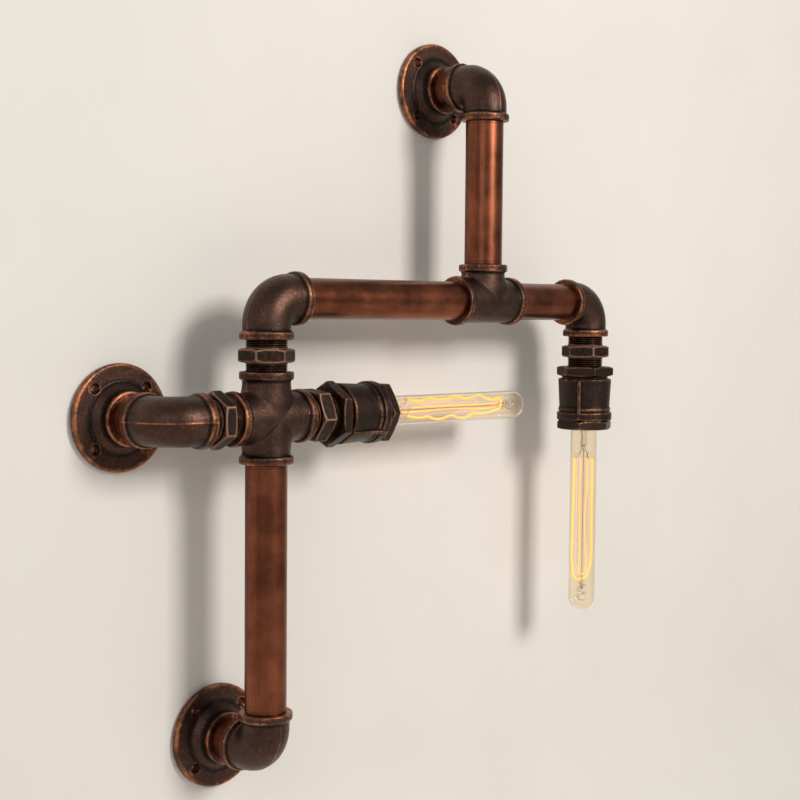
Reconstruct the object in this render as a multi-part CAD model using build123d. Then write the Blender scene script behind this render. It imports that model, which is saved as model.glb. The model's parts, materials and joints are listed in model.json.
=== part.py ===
from build123d import *

import os
from math import cos, pi, radians, sin, sqrt

# Industrial pipe wall light: screwed pipe and malleable-iron fittings that carry two
# lamp cups with tubular filament bulbs.
#
# Frame: origin at the centre of the supply flange's back face, on the wall.
# +X right along the wall, +Y into the wall, +Z up.  Millimetres.

# ---------------------------------------------------------------- driving dimensions
# Pipe and screwed joints
PIPE_OD = 42.4              # outside diameter of the pipe
PIPE_WALL = 3.2
JOINT_GAP = 0.15            # radial clearance of a screwed joint
GRIP = 17.0                 # length of pipe inside a fitting

# Fittings (elbows, tee, cross)
REACH = 41.0                # centre to end of an elbow, and of the tee's branch
TEE_RUN = 46.0              # centre to end of the tee along its run
CROSS_REACH = 46.0          # centre to end of the cross
FITTING_WALL = 3.0          # iron outside a socket
BAND_WIDTH = 8.0            # reinforcing band at each mouth
BAND_PROUD = 3.0            # band above the body
BAND_EDGE = 1.6             # bevel of the band's edges
ELBOW_THROAT = 1.5          # inner radius of an elbow's body

# Hexagon nipples
NIPPLE_HEX_FLATS = 50.0
NIPPLE_HEX_LENGTH = 14.0
RIGHT_HEX_LENGTH = 17.0     # the same on the nipple of the cup that points right
NIPPLE_NECK = 8.8           # thread left in view each side of the hexagon
DROP_NECK = 11.2            # the same on the nipple above the hanging cup
HEX_CORNER = 1.4            # how far the corner bevel runs along the hexagon
NIPPLE_TURN = 30.0          # a corner of the hexagon from the front: where the thread pulled tight
RISER_TURN = 0.0
RIGHT_TURN = 7.0

# Layout along the wall
STAND_OFF = 85.0            # wall to pipe axis
LEFT_TO_TEE = 311.5         # left riser axis to tee axis
TEE_TO_DROP = 182.5         # tee axis to the axis of the hanging cup
UPPER_PIPE_VIEW = 160.0     # pipe in view between the tee and the supply elbow
LOWER_PIPE_VIEW = 250.0     # pipe in view between the cross and the lower elbow

# Wall flanges
FLANGE_OD = 108.0
FLANGE_PLATE = 7.0
FLANGE_HUB_HEIGHT = 24.0
FLANGE_HOLE_CIRCLE = 84.0
FLANGE_HOLE_DIAMETER = 6.5
FLANGE_HOLES = 4
FLANGE_GRIP = 16.0          # length of stub pipe inside a flange

# Lamp cups, measured along the cup's axis from its rear face
CUP_HEX_FLATS = 60.0
CUP_REAR_HEX = 11.5         # length of the rear hexagon
CUP_NECK = 3.0              # groove behind the barrel
CUP_NECK_CUT = 2.5          # neck below the flats of the rear hexagon
BARREL_LENGTH = 39.0
BARREL_REAR_DIAMETER = 64.0
BARREL_FRONT_DIAMETER = 61.5
RIM_GROOVE = 1.5
RIM_WIDTH = 10.0
RIM_DIAMETER = 66.0
CUP_FRONT_HEX = 11.0        # length of the front hexagon
CUP_SCREW = 9.5             # length of bushing inside the barrel
BARREL_WALL = 3.6           # iron outside the bushing's thread
LEDGE_WIDTH = 4.0           # ledge that carries the lampholder's flange
RING_WALL = 3.15            # wall of the front hexagon's thread
RIB_WIDTH = 4.0             # casting rib along the barrel
RIB_PROUD = 0.8             # rib above the rim
RIB_ANGLE = 36.0            # rib from the front, on the cup that points right
DROP_RIB_ANGLE = -62.0      # rib from the front, on the hanging cup

# Lampholder
HOLDER_BODY_DIAMETER = 44.0
HOLDER_FLANGE = 5.0         # thickness of the porcelain flange
HOLDER_LIP = 3.0            # porcelain in front of the flange
LIP_GAP = 1.3               # lip to the front hexagon's bore
HOLDER_FLOOR = 9.0          # porcelain behind the screw shell
HOLDER_BACK_GAP = 1.0       # porcelain to the end of the bushing
PORCELAIN_EDGE = 1.0        # bevel of the porcelain's back edge
SEAT_GAP = 0.25             # side clearance of the porcelain in the barrel
SHELL_WALL = 0.6
SHELL_GAP = 0.3             # screw shell to porcelain
SHELL_SET_BACK = 1.0        # screw shell behind the porcelain's front
SHELL_OPENING = 15.0        # hole in the shell's floor round the contact
CONTACT_DIAMETER = 9.0
CONTACT_HEIGHT = 2.2
TERMINAL_OFFSET = 11.0      # terminal screws from the axis
TERMINAL_HEAD = 6.4
TERMINAL_HEAD_HEIGHT = 2.4
TERMINAL_SHANK = 3.4
TERMINAL_SHANK_LENGTH = 6.0
TERMINAL_SLOT = 1.0

# Bulbs
BULB_DIAMETER = 32.0
BULB_IN_VIEW = 222.0        # glass in front of the cup's mouth
GLASS_WALL = 0.8
NECK_DIAMETER = 24.8        # glass inside the cap
NECK_FLARE = 13.0           # length over which the neck widens
CAP_DIAMETER = 26.1
CAP_LENGTH = 25.5
CAP_WALL = 0.3
CAP_PROUD = 1.0             # cap in front of the porcelain
CAP_SHOULDER = 1.0          # height of the cap's rolled-in end
CAP_GAP = 0.4               # cap's eyelet to the holder's contact at rest
EYELET_DIAMETER = 9.4
EYELET_HEIGHT = 1.4
INSULATOR_HEIGHT = 4.0
INSULATOR_SPIGOT = 1.0      # insulator inside the cap
STEM_FLARE_DIAMETER = 17.0
STEM_FLARE_HEIGHT = 4.0     # glass seal to the narrow end of the flare
STEM_TAPER_HEIGHT = 10.0    # flare to the tube
STEM_TUBE_DIAMETER = 7.0
STEM_PRESS_WIDTH = 11.0
STEM_PRESS_THICKNESS = 4.0
STEM_PRESS_HEIGHT = 13.0
STEM_PRESS_ROOT = 2.0       # tube inside the press
STEM_TOP = 21.0             # top of the stem press in front of the mouth
SUPPORT_DIAMETER = 1.6
SUPPORT_KNOT_DIAMETER = 5.0
SUPPORT_KNOT_HEIGHT = 7.0
SUPPORT_KNOT_BAND = 2.0     # cylindrical middle of the knot
KNOT_FROM_TIP = 28.0        # knot to the bulb's tip
HOOK_DIAMETER = 0.5
FILAMENT_DIAMETER = 0.7
FILAMENT_CIRCLE = 22.0      # circle on which the filament's four legs stand
FILAMENT_START = 39.0       # near end of the legs, in front of the mouth
FILAMENT_FROM_TIP = 36.0    # far end of the outer hairpin to the bulb's tip
HAIRPIN_STEP = 6.0          # inner hairpin shorter than the outer one
HAIRPIN_OFFSET = 1.6        # each hairpin beside the support rod
RIGHT_HAIRPIN_TURN = 90.0   # outer hairpin from the front, in the bulb that points right
DROP_HAIRPIN_TURN = -45.0
LEAD_IN_DIAMETER = 0.8
LEAD_IN_RISE = 2.0          # straight lead-in above the press

# Wiring inside the pipes
CABLE_DIAMETER = 6.0
CABLE_SIDE = 4.5            # each cable beside the supply pipe's axis
CABLE_BEND = 22.0
CABLE_LEAD = 2.0            # straight cable between the terminal block and its first bend
BLOCK_WIDTH = 18.0          # terminal block, across the stub
BLOCK_LENGTH = 20.0
BLOCK_HEIGHT = 11.0
BLOCK_SCREW_DIAMETER = 4.0
BLOCK_SCREW_PROUD = 0.8

# ---------------------------------------------------------------- derived sizes
pipe_r = PIPE_OD / 2
bore_r = pipe_r - PIPE_WALL
socket_r = pipe_r + JOINT_GAP
body_r = socket_r + FITTING_WALL
band_r = body_r + BAND_PROUD
bend_r = body_r + ELBOW_THROAT

nipple_view = NIPPLE_HEX_LENGTH + 2 * NIPPLE_NECK
drop_view = NIPPLE_HEX_LENGTH + 2 * DROP_NECK
right_neck = (nipple_view - RIGHT_HEX_LENGTH) / 2

pipe_y = -STAND_OFF
left_x = -LEFT_TO_TEE
drop_x = TEE_TO_DROP
tee_z = -(2 * REACH + UPPER_PIPE_VIEW)
cross_z = tee_z - (REACH + nipple_view + CROSS_REACH)
lower_z = cross_z - (CROSS_REACH + LOWER_PIPE_VIEW + REACH)
wall_left_x = left_x - (CROSS_REACH + nipple_view + REACH)

# Stations along a lamp cup
neck_s = CUP_REAR_HEX
barrel_s = neck_s + CUP_NECK
groove_s = barrel_s + BARREL_LENGTH
rim_s = groove_s + RIM_GROOVE
ring_s = rim_s + RIM_WIDTH
mouth_s = ring_s + CUP_FRONT_HEX
bushing_end_s = barrel_s + CUP_SCREW
holder_s = bushing_end_s + HOLDER_BACK_GAP
shell_s = holder_s + HOLDER_FLOOR
contact_top_s = shell_s + CONTACT_HEIGHT
bulb_s = contact_top_s + CAP_GAP
cap_end_s = bulb_s + CAP_LENGTH
tip_s = mouth_s + BULB_IN_VIEW
holder_front_s = cap_end_s - CAP_PROUD
flange_front_s = holder_front_s - HOLDER_LIP
flange_back_s = flange_front_s - HOLDER_FLANGE

bushing_r = BARREL_FRONT_DIAMETER / 2 - BARREL_WALL
seat_r = bushing_r
mouth_r = seat_r - RING_WALL
lip_r = mouth_r - LIP_GAP
rib_top_r = RIM_DIAMETER / 2 + RIB_PROUD
bulb_r = BULB_DIAMETER / 2
neck_r = NECK_DIAMETER / 2
cap_r = CAP_DIAMETER / 2


# ---------------------------------------------------------------- helpers
def turned(points):
    """Solid turned about Z from a closed profile of (radius, height) points."""
    profile = make_face(Polyline(*points, close=True))
    return revolve(Plane.XZ * profile, Axis.Z)


def rod(radius, start, end):
    """Round bar along Z."""
    return Pos(0, 0, start) * Cylinder(radius, end - start, align=(Align.CENTER, Align.CENTER, Align.MIN))


def tube(outer, inner, start, end):
    """Round tube along Z."""
    return turned([(inner, start), (outer, start), (outer, end), (inner, end)])


def hexagon(flats, start, end, corner, turn=0):
    """Hexagonal prism along Z with its corners bevelled at both ends."""
    across_corners = flats / cos(radians(30)) / 2
    drop = across_corners - flats / 2
    prism = extrude(
        Plane.XY.offset(start) * RegularPolygon(across_corners, 6, rotation=turn), end - start
    )
    bevel = turned([
        (0, start), (across_corners - drop, start), (across_corners, start + corner),
        (across_corners, end - corner), (across_corners - drop, end), (0, end),
    ])
    return prism & bevel


def aim(position, forward, front):
    """Location whose Z runs along forward and whose X runs towards front."""
    return Plane(origin=position, x_dir=front, z_dir=forward).location


def save(node, shape):
    """Write one node."""
    export_step(shape, f"parts/{node}.step")


# ---------------------------------------------------------------- pipe fittings
def socket_leg(reach):
    """One arm of a fitting along +Z: body with its banded mouth, before boring."""
    band_start = reach - BAND_WIDTH
    return turned([
        (0, 0), (body_r, 0), (body_r, band_start - BAND_EDGE / 2), (band_r, band_start + BAND_EDGE),
        (band_r, reach - BAND_EDGE), (band_r - BAND_EDGE, reach), (0, reach),
    ])


def leg_bore(reach):
    """What is cut from an arm along +Z: socket for the pipe and the waterway."""
    return rod(socket_r, reach - GRIP, reach) + rod(bore_r, 0, reach)


ARM_TURN = {"+X": (0, 90, 0), "-X": (0, -90, 0), "+Z": (0, 0, 0), "-Z": (180, 0, 0)}


def straight_fitting(reaches):
    """Tee or cross with its arms in the XZ plane, each with its own reach."""
    body = Sphere(body_r)
    bore = Sphere(bore_r)
    for arm, reach in reaches.items():
        body += Rot(*ARM_TURN[arm]) * socket_leg(reach)
        bore += Rot(*ARM_TURN[arm]) * leg_bore(reach)
    return body - bore


def bend(radius):
    """Quarter bend of round section, from +X arm to +Z arm."""
    section = Plane.YZ.offset(bend_r) * Circle(radius)
    return revolve(section, Axis((bend_r, 0, bend_r), (0, 1, 0)), revolution_arc=90)


def elbow():
    """Elbow with arms along +X and +Z."""
    arm = socket_leg(REACH) - rod(band_r, 0, bend_r)
    cut = rod(socket_r, REACH - GRIP, REACH) + rod(bore_r, bend_r, REACH)
    body = bend(body_r) + arm + Rot(*ARM_TURN["+X"]) * arm
    bore = bend(bore_r) + cut + Rot(*ARM_TURN["+X"]) * cut
    return body - bore


def pipe(length):
    """Plain pipe along +Z, screwed GRIP deep into a fitting at each end."""
    return tube(pipe_r, bore_r, -GRIP, length + GRIP)


def stub(length, wall_grip):
    """Short pipe along +Z from a wall flange to a wall elbow."""
    return tube(pipe_r, bore_r, -wall_grip, length + GRIP)


def hex_nipple(neck, length=NIPPLE_HEX_LENGTH, turn=NIPPLE_TURN):
    """Hexagon nipple along +Z, measured from the mouth that it leaves."""
    end = length + 2 * neck
    body = rod(pipe_r, -GRIP, end + GRIP)
    body += hexagon(NIPPLE_HEX_FLATS, neck, neck + length, HEX_CORNER, turn)
    return body - rod(bore_r, -GRIP, end + GRIP)


def wall_flange():
    """Round floor flange, back face on Z = 0 and hub along +Z."""
    plate_r = FLANGE_OD / 2
    rise = FLANGE_HUB_HEIGHT - FLANGE_PLATE
    body = turned([
        (0, 0), (plate_r, 0), (plate_r, FLANGE_PLATE - BAND_EDGE),
        (plate_r - BAND_EDGE, FLANGE_PLATE), (band_r + rise / 2, FLANGE_PLATE),
        (band_r + BAND_EDGE, FLANGE_PLATE + rise / 4), (band_r, FLANGE_PLATE + rise / 2),
        (band_r, FLANGE_HUB_HEIGHT - BAND_EDGE), (band_r - BAND_EDGE, FLANGE_HUB_HEIGHT),
        (0, FLANGE_HUB_HEIGHT),
    ])
    body -= rod(bore_r, 0, FLANGE_HUB_HEIGHT)
    body -= rod(socket_r, FLANGE_HUB_HEIGHT - FLANGE_GRIP, FLANGE_HUB_HEIGHT)
    for place in PolarLocations(FLANGE_HOLE_CIRCLE / 2, FLANGE_HOLES, start_angle=45):
        body -= place * rod(FLANGE_HOLE_DIAMETER / 2, 0, FLANGE_PLATE)
    return body


# ---------------------------------------------------------------- lamp cup
def cup_bushing():
    """Rear bushing: hexagon, neck, and the thread that the barrel screws on."""
    neck_radius = CUP_HEX_FLATS / 2 - CUP_NECK_CUT
    body = hexagon(CUP_HEX_FLATS, 0, neck_s, HEX_CORNER, turn=30)
    body += rod(neck_radius, neck_s, barrel_s)
    body += rod(bushing_r - JOINT_GAP, barrel_s, bushing_end_s)
    return body - rod(socket_r, 0, GRIP) - rod(bore_r, GRIP, bushing_end_s)


def cup_barrel(rib_angle):
    """Ribbed barrel with its rim, open at both ends, and the ledge for the lampholder."""
    rear_r = BARREL_REAR_DIAMETER / 2
    front_r = BARREL_FRONT_DIAMETER / 2
    rim_r = RIM_DIAMETER / 2
    groove_r = front_r - RIM_GROOVE / 2
    ledge_r = HOLDER_BODY_DIAMETER / 2 + SEAT_GAP
    ledge_s = flange_back_s - LEDGE_WIDTH
    outside = turned([
        (0, barrel_s), (rear_r - BAND_EDGE, barrel_s), (rear_r, barrel_s + BAND_EDGE),
        (front_r, groove_s), (groove_r, groove_s), (groove_r, rim_s),
        (rim_r - BAND_EDGE, rim_s), (rim_r, rim_s + BAND_EDGE), (rim_r, ring_s - BAND_EDGE),
        (rim_r - BAND_EDGE, ring_s), (0, ring_s),
    ])
    rib = Pos(rib_top_r / 2, 0, (barrel_s + ring_s) / 2) * Box(
        rib_top_r, RIB_WIDTH, ring_s - barrel_s - 2 * BAND_EDGE
    )
    inside = turned([
        (0, barrel_s), (bushing_r, barrel_s), (bushing_r, ledge_s - LEDGE_WIDTH / 2),
        (ledge_r, ledge_s), (ledge_r, flange_back_s), (seat_r, flange_back_s),
        (seat_r, ring_s), (0, ring_s),
    ])
    return outside + Rot(0, 0, rib_angle) * rib - inside


def cup_ring():
    """Front hexagon, screwed into the barrel against the lampholder's flange."""
    body = hexagon(CUP_HEX_FLATS, ring_s, mouth_s, HEX_CORNER)
    body += rod(seat_r - JOINT_GAP, flange_front_s, ring_s)
    return body - rod(mouth_r, flange_front_s, mouth_s)


def holder_porcelain():
    """Glazed porcelain body of the lampholder."""
    radius = HOLDER_BODY_DIAMETER / 2
    shell_r = cap_r + CAP_GAP + SHELL_WALL + SHELL_GAP
    body = turned([
        (0, holder_s), (radius - PORCELAIN_EDGE, holder_s), (radius, holder_s + PORCELAIN_EDGE),
        (radius, flange_back_s),
        (seat_r - SEAT_GAP, flange_back_s), (seat_r - SEAT_GAP, flange_front_s),
        (lip_r, flange_front_s), (lip_r, holder_front_s),
        (shell_r, holder_front_s), (shell_r, shell_s), (0, shell_s),
    ])
    for side in (-1, 1):
        body -= Pos(side * TERMINAL_OFFSET, 0, 0) * rod(
            TERMINAL_SHANK / 2 + JOINT_GAP, holder_s, holder_s + TERMINAL_SHANK_LENGTH
        )
    return body


def holder_shell():
    """Brass screw shell seated on the porcelain's floor."""
    inner_r = cap_r + CAP_GAP
    outer_r = inner_r + SHELL_WALL
    opening_r = SHELL_OPENING / 2
    front_s = holder_front_s - SHELL_SET_BACK
    return turned([
        (opening_r, shell_s), (outer_r, shell_s), (outer_r, front_s),
        (inner_r, front_s), (inner_r, shell_s + SHELL_WALL),
        (opening_r, shell_s + SHELL_WALL),
    ])


def holder_contact():
    """Domed centre contact on the porcelain's floor."""
    radius = CONTACT_DIAMETER / 2
    return turned([
        (0, shell_s), (radius, shell_s), (radius, shell_s + CONTACT_HEIGHT / 3),
        (radius / 2, contact_top_s), (0, contact_top_s),
    ])


def holder_terminals():
    """Two terminal screws in the back of the porcelain."""
    screw = rod(TERMINAL_HEAD / 2, holder_s - TERMINAL_HEAD_HEIGHT, holder_s)
    screw += rod(TERMINAL_SHANK / 2, holder_s, holder_s + TERMINAL_SHANK_LENGTH)
    slot = Pos(0, 0, holder_s - TERMINAL_HEAD_HEIGHT) * Box(TERMINAL_HEAD, TERMINAL_SLOT, TERMINAL_HEAD_HEIGHT)
    screw -= slot
    return Compound(children=[Pos(side * TERMINAL_OFFSET, 0, 0) * screw for side in (-1, 1)])


# ---------------------------------------------------------------- bulb
def bulb_glass():
    """Long glass tube with a domed tip and a drawn-in neck."""
    neck_start = cap_end_s - CAP_LENGTH / 2
    flare_start = cap_end_s
    flare_end = flare_start + NECK_FLARE

    def envelope(inset):
        radius = bulb_r - inset
        throat = neck_r - inset
        middle = (flare_start + flare_end) / 2
        shoulder = tip_s - bulb_r
        side = Polyline((0, neck_start), (throat, neck_start), (throat, flare_start))
        waist = (throat + radius) / 2
        flare = Line((throat, flare_start), (waist, middle)) + Line((waist, middle), (radius, flare_end))
        wall = Line((radius, flare_end), (radius, shoulder))
        dome = RadiusArc((radius, shoulder), (0, shoulder + radius), -radius)
        axis = Line((0, shoulder + radius), (0, neck_start))
        profile = make_face(side + flare + wall + dome + axis)
        return revolve(Plane.XZ * profile, Axis.Z)

    return envelope(0) - envelope(GLASS_WALL)


def bulb_cap():
    """Brass screw cap: shell, shoulder and flare over the glass."""
    start = bulb_s + EYELET_HEIGHT + INSULATOR_HEIGHT
    return turned([
        (cap_r - CAP_WALL, start), (cap_r, start), (cap_r, cap_end_s), (neck_r, cap_end_s),
        (cap_r - CAP_WALL, cap_end_s - CAP_SHOULDER),
    ])


def bulb_insulator():
    """Black glass between the cap and its eyelet."""
    low = bulb_s + EYELET_HEIGHT
    high = low + INSULATOR_HEIGHT
    return turned([
        (0, low), (EYELET_DIAMETER / 2, low), (cap_r - CAP_WALL, high),
        (cap_r - CAP_WALL, high + INSULATOR_SPIGOT), (0, high + INSULATOR_SPIGOT),
    ])


def bulb_eyelet():
    """Soldered eyelet contact."""
    radius = EYELET_DIAMETER / 2
    return turned([
        (0, bulb_s), (radius / 2, bulb_s), (radius, bulb_s + EYELET_HEIGHT / 2),
        (radius, bulb_s + EYELET_HEIGHT), (0, bulb_s + EYELET_HEIGHT),
    ])


def bulb_stem():
    """Glass stem: flare sealed to the neck, tube and flat press."""
    base = cap_end_s - CAP_LENGTH / 2
    flare_top = base + STEM_FLARE_HEIGHT
    press_top = mouth_s + STEM_TOP
    press_low = press_top - STEM_PRESS_HEIGHT
    tube_r = STEM_TUBE_DIAMETER / 2
    body = turned([
        (0, base), (neck_r - GLASS_WALL, base), (STEM_FLARE_DIAMETER / 2, flare_top),
        (tube_r, flare_top + STEM_TAPER_HEIGHT), (tube_r, press_low + STEM_PRESS_ROOT),
        (0, press_low + STEM_PRESS_ROOT),
    ])
    body += Pos(0, 0, (press_low + press_top) / 2) * Box(
        STEM_PRESS_THICKNESS, STEM_PRESS_WIDTH, STEM_PRESS_HEIGHT
    )
    return body


def hairpins(turn):
    """The four legs' places and far ends: two hairpins, crossed at right angles beside the rod."""
    half = sqrt((FILAMENT_CIRCLE / 2) ** 2 - HAIRPIN_OFFSET ** 2)
    far = tip_s - FILAMENT_FROM_TIP
    legs = [Vector(side * half, HAIRPIN_OFFSET, 0) for side in (-1, 1)]
    outer = [leg.rotate(Axis.Z, turn) for leg in legs]
    inner = [leg.rotate(Axis.Z, turn + 90) for leg in legs]
    return (*outer, far), (*inner, far - HAIRPIN_STEP)


def raised(point, height):
    """The same place at another station."""
    return Vector(point.X, point.Y, height)


def wire(points, diameter):
    """Thin six-sided wire along straight runs."""
    path = Polyline(*points)
    section = Plane(origin=points[0], z_dir=path % 0) * RegularPolygon(diameter / 2, 6)
    return sweep(section, path=path, transition=Transition.RIGHT)


def bulb_filament(turn):
    """One wire that runs up and down the bulb in two hairpins."""
    near = mouth_s + FILAMENT_START
    points = []
    for first, second, far in hairpins(turn):
        points += [raised(first, near), raised(first, far), raised(second, far), raised(second, near)]
    return wire(points, FILAMENT_DIAMETER)


def bulb_support(turn):
    """Centre rod with a knot near the tip and hooks that hold the hairpins."""
    knot = tip_s - KNOT_FROM_TIP
    knot_r = SUPPORT_KNOT_DIAMETER / 2
    near = mouth_s + FILAMENT_START
    body = rod(SUPPORT_DIAMETER / 2, mouth_s + STEM_TOP, knot)
    body += turned([
        (0, knot - SUPPORT_KNOT_HEIGHT / 2), (knot_r, knot - SUPPORT_KNOT_BAND / 2),
        (knot_r, knot + SUPPORT_KNOT_BAND / 2), (0, knot + SUPPORT_KNOT_HEIGHT / 2),
    ])
    outer, inner = hairpins(turn)
    held = [((first + second) / 2, far) for first, second, far in (outer, inner)]
    held.append(((outer[1] + inner[0]) / 2, near))
    for middle, height in held:
        reach = middle.length - FILAMENT_DIAMETER / 2
        body += wire([Vector(0, 0, height), raised(middle.normalized() * reach, height)], HOOK_DIAMETER)
    return body


def bulb_lead_ins(turn):
    """Two wires from the stem press to the filament's ends."""
    outer, inner = hairpins(turn)
    low = mouth_s + STEM_TOP
    high = mouth_s + FILAMENT_START - FILAMENT_DIAMETER / 2
    wires = []
    for side, end in ((-1, outer[0]), (1, inner[1])):
        foot = Vector(0, side * STEM_PRESS_WIDTH / 3, low)
        knee = foot + Vector(0, 0, LEAD_IN_RISE)
        wires.append(wire([foot, knee, raised(end, high)], LEAD_IN_DIAMETER))
    return Compound(children=wires)


# ---------------------------------------------------------------- wiring
def cable(points):
    """Round cable with one bend radius at every corner."""
    path = FilletPolyline(*points, radius=CABLE_BEND)
    section = Plane(origin=points[0], z_dir=path % 0) * Circle(CABLE_DIAMETER / 2)
    body = sweep(section, path=path)
    length = path.length
    print("cable length", round(length, 1), "volume ratio",
          round(body.volume / (pi * CABLE_DIAMETER ** 2 / 4 * length), 4))
    return body


# Terminal block lying on the bore of the supply stub
block_drop = sqrt(bore_r ** 2 - (BLOCK_WIDTH / 2) ** 2) - SHELL_GAP
block_y = pipe_y + CABLE_BEND + CABLE_LEAD + BLOCK_LENGTH / 2
block_z = -block_drop + BLOCK_HEIGHT / 2


def terminal_block():
    """Two-pole ceramic terminal block."""
    body = Pos(0, block_y, block_z) * Box(BLOCK_WIDTH, BLOCK_LENGTH, BLOCK_HEIGHT)
    for column in (-1, 1):
        for row in (-1, 1):
            body -= block_screw_place(column, row) * rod(
                BLOCK_SCREW_DIAMETER / 2 + JOINT_GAP, -BLOCK_HEIGHT / 2, BLOCK_SCREW_PROUD
            )
    return body


def block_screw_place(column, row):
    """Top of one screw hole in the terminal block."""
    return Pos(column * BLOCK_WIDTH / 4, block_y + row * BLOCK_LENGTH / 4, block_z + BLOCK_HEIGHT / 2)


def block_screws():
    """Four clamping screws of the terminal block."""
    screws = []
    for column in (-1, 1):
        for row in (-1, 1):
            screws.append(block_screw_place(column, row) * rod(
                BLOCK_SCREW_DIAMETER / 2, -BLOCK_HEIGHT / 2, BLOCK_SCREW_PROUD
            ))
    return Compound(children=screws)


# ---------------------------------------------------------------- assembly
os.makedirs("parts", exist_ok=True)

RIGHT, LEFT, UP, DOWN = (1, 0, 0), (-1, 0, 0), (0, 0, 1), (0, 0, -1)
WALL, FRONT = (0, 1, 0), (0, -1, 0)


def elbow_at(position, first, second):
    """Elbow whose arms point along first and second."""
    return Plane(origin=position, x_dir=first, z_dir=second).location * elbow()


# Fittings
save("supply_elbow", elbow_at((0, pipe_y, 0), WALL, DOWN))
save("tee", Pos(0, pipe_y, tee_z) * straight_fitting({"+X": TEE_RUN, "-X": TEE_RUN, "+Z": REACH}))
save("top_left_elbow", elbow_at((left_x, pipe_y, tee_z), RIGHT, DOWN))
save("top_right_elbow", elbow_at((drop_x, pipe_y, tee_z), LEFT, DOWN))
save("cross", Pos(left_x, pipe_y, cross_z) * straight_fitting(dict.fromkeys(ARM_TURN, CROSS_REACH)))
save("left_wall_elbow", elbow_at((wall_left_x, pipe_y, cross_z), WALL, RIGHT))
save("lower_wall_elbow", elbow_at((left_x, pipe_y, lower_z), WALL, UP))

# Pipes
save("supply_pipe", aim((0, pipe_y, -REACH), DOWN, FRONT) * pipe(UPPER_PIPE_VIEW))
save("long_pipe", aim((-TEE_RUN, pipe_y, tee_z), LEFT, FRONT) * pipe(LEFT_TO_TEE - TEE_RUN - REACH))
save("short_pipe", aim((TEE_RUN, pipe_y, tee_z), RIGHT, FRONT) * pipe(TEE_TO_DROP - TEE_RUN - REACH))
save("lower_pipe", aim((left_x, pipe_y, cross_z - CROSS_REACH), DOWN, FRONT) * pipe(LOWER_PIPE_VIEW))

# Hexagon nipples
cup_right_x = left_x + CROSS_REACH + nipple_view
cup_drop_z = tee_z - REACH - drop_view
riser_nipple = hex_nipple(NIPPLE_NECK, turn=RISER_TURN)
right_nipple = hex_nipple(right_neck, RIGHT_HEX_LENGTH, RIGHT_TURN)
save("riser_nipple", aim((left_x, pipe_y, tee_z - REACH), DOWN, FRONT) * riser_nipple)
save("left_nipple", aim((left_x - CROSS_REACH, pipe_y, cross_z), LEFT, FRONT) * hex_nipple(NIPPLE_NECK))
save("right_nipple", aim((left_x + CROSS_REACH, pipe_y, cross_z), RIGHT, FRONT) * right_nipple)
save("drop_nipple", aim((drop_x, pipe_y, tee_z - REACH), DOWN, FRONT) * hex_nipple(DROP_NECK))

# Wall flanges and the stubs that carry the elbows
stub_view = STAND_OFF - REACH - FLANGE_HUB_HEIGHT
for name, x, z in (("supply", 0, 0), ("left", wall_left_x, cross_z), ("lower", left_x, lower_z)):
    save(f"{name}_flange", aim((x, 0, z), FRONT, UP) * wall_flange())
    save(f"{name}_stub", aim((x, -FLANGE_HUB_HEIGHT, z), FRONT, UP) * stub(stub_view, FLANGE_GRIP))

# Lamp cups with their lampholders and bulbs
CUPS = (
    ("right", aim((cup_right_x, pipe_y, cross_z), RIGHT, FRONT), RIB_ANGLE, RIGHT_HAIRPIN_TURN),
    ("drop", aim((drop_x, pipe_y, cup_drop_z), DOWN, FRONT), DROP_RIB_ANGLE, DROP_HAIRPIN_TURN),
)
for name, place, rib_angle, turn in CUPS:
    save(f"{name}_cup_bushing", place * cup_bushing())
    save(f"{name}_cup_barrel", place * cup_barrel(rib_angle))
    save(f"{name}_cup_ring", place * cup_ring())
    save(f"{name}_holder_porcelain", place * holder_porcelain())
    save(f"{name}_holder_shell", place * holder_shell())
    save(f"{name}_holder_contact", place * holder_contact())
    save(f"{name}_holder_terminals", place * holder_terminals())
    save(f"{name}_bulb_glass", place * bulb_glass())
    save(f"{name}_bulb_cap", place * bulb_cap())
    save(f"{name}_bulb_insulator", place * bulb_insulator())
    save(f"{name}_bulb_eyelet", place * bulb_eyelet())
    save(f"{name}_bulb_stem", place * bulb_stem())
    save(f"{name}_bulb_filament", place * bulb_filament(turn))
    save(f"{name}_bulb_support", place * bulb_support(turn))
    save(f"{name}_bulb_lead_ins", place * bulb_lead_ins(turn))

# Wiring: terminal block in the supply stub, one cable to each lampholder
cable_start_y = block_y - BLOCK_LENGTH / 2
save("terminal_block", terminal_block())
save("terminal_block_screws", block_screws())
save("left_cable", cable([
    (-CABLE_SIDE, cable_start_y, block_z), (-CABLE_SIDE, pipe_y, block_z),
    (-CABLE_SIDE, pipe_y, tee_z), (left_x, pipe_y, tee_z), (left_x, pipe_y, cross_z),
    (cup_right_x + holder_s, pipe_y, cross_z),
]))
save("right_cable", cable([
    (CABLE_SIDE, cable_start_y, block_z), (CABLE_SIDE, pipe_y, block_z),
    (CABLE_SIDE, pipe_y, tee_z), (drop_x, pipe_y, tee_z), (drop_x, pipe_y, cup_drop_z - holder_s),
]))
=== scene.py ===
"""Looks of an industrial pipe wall light: screwed pipe in antique bronze with two tubular filament bulbs."""

import json
import logging
import math
from dataclasses import dataclass, field
from enum import Enum
from typing import ClassVar

import bpy
import numpy as np
from mathutils import Matrix, Vector

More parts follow.
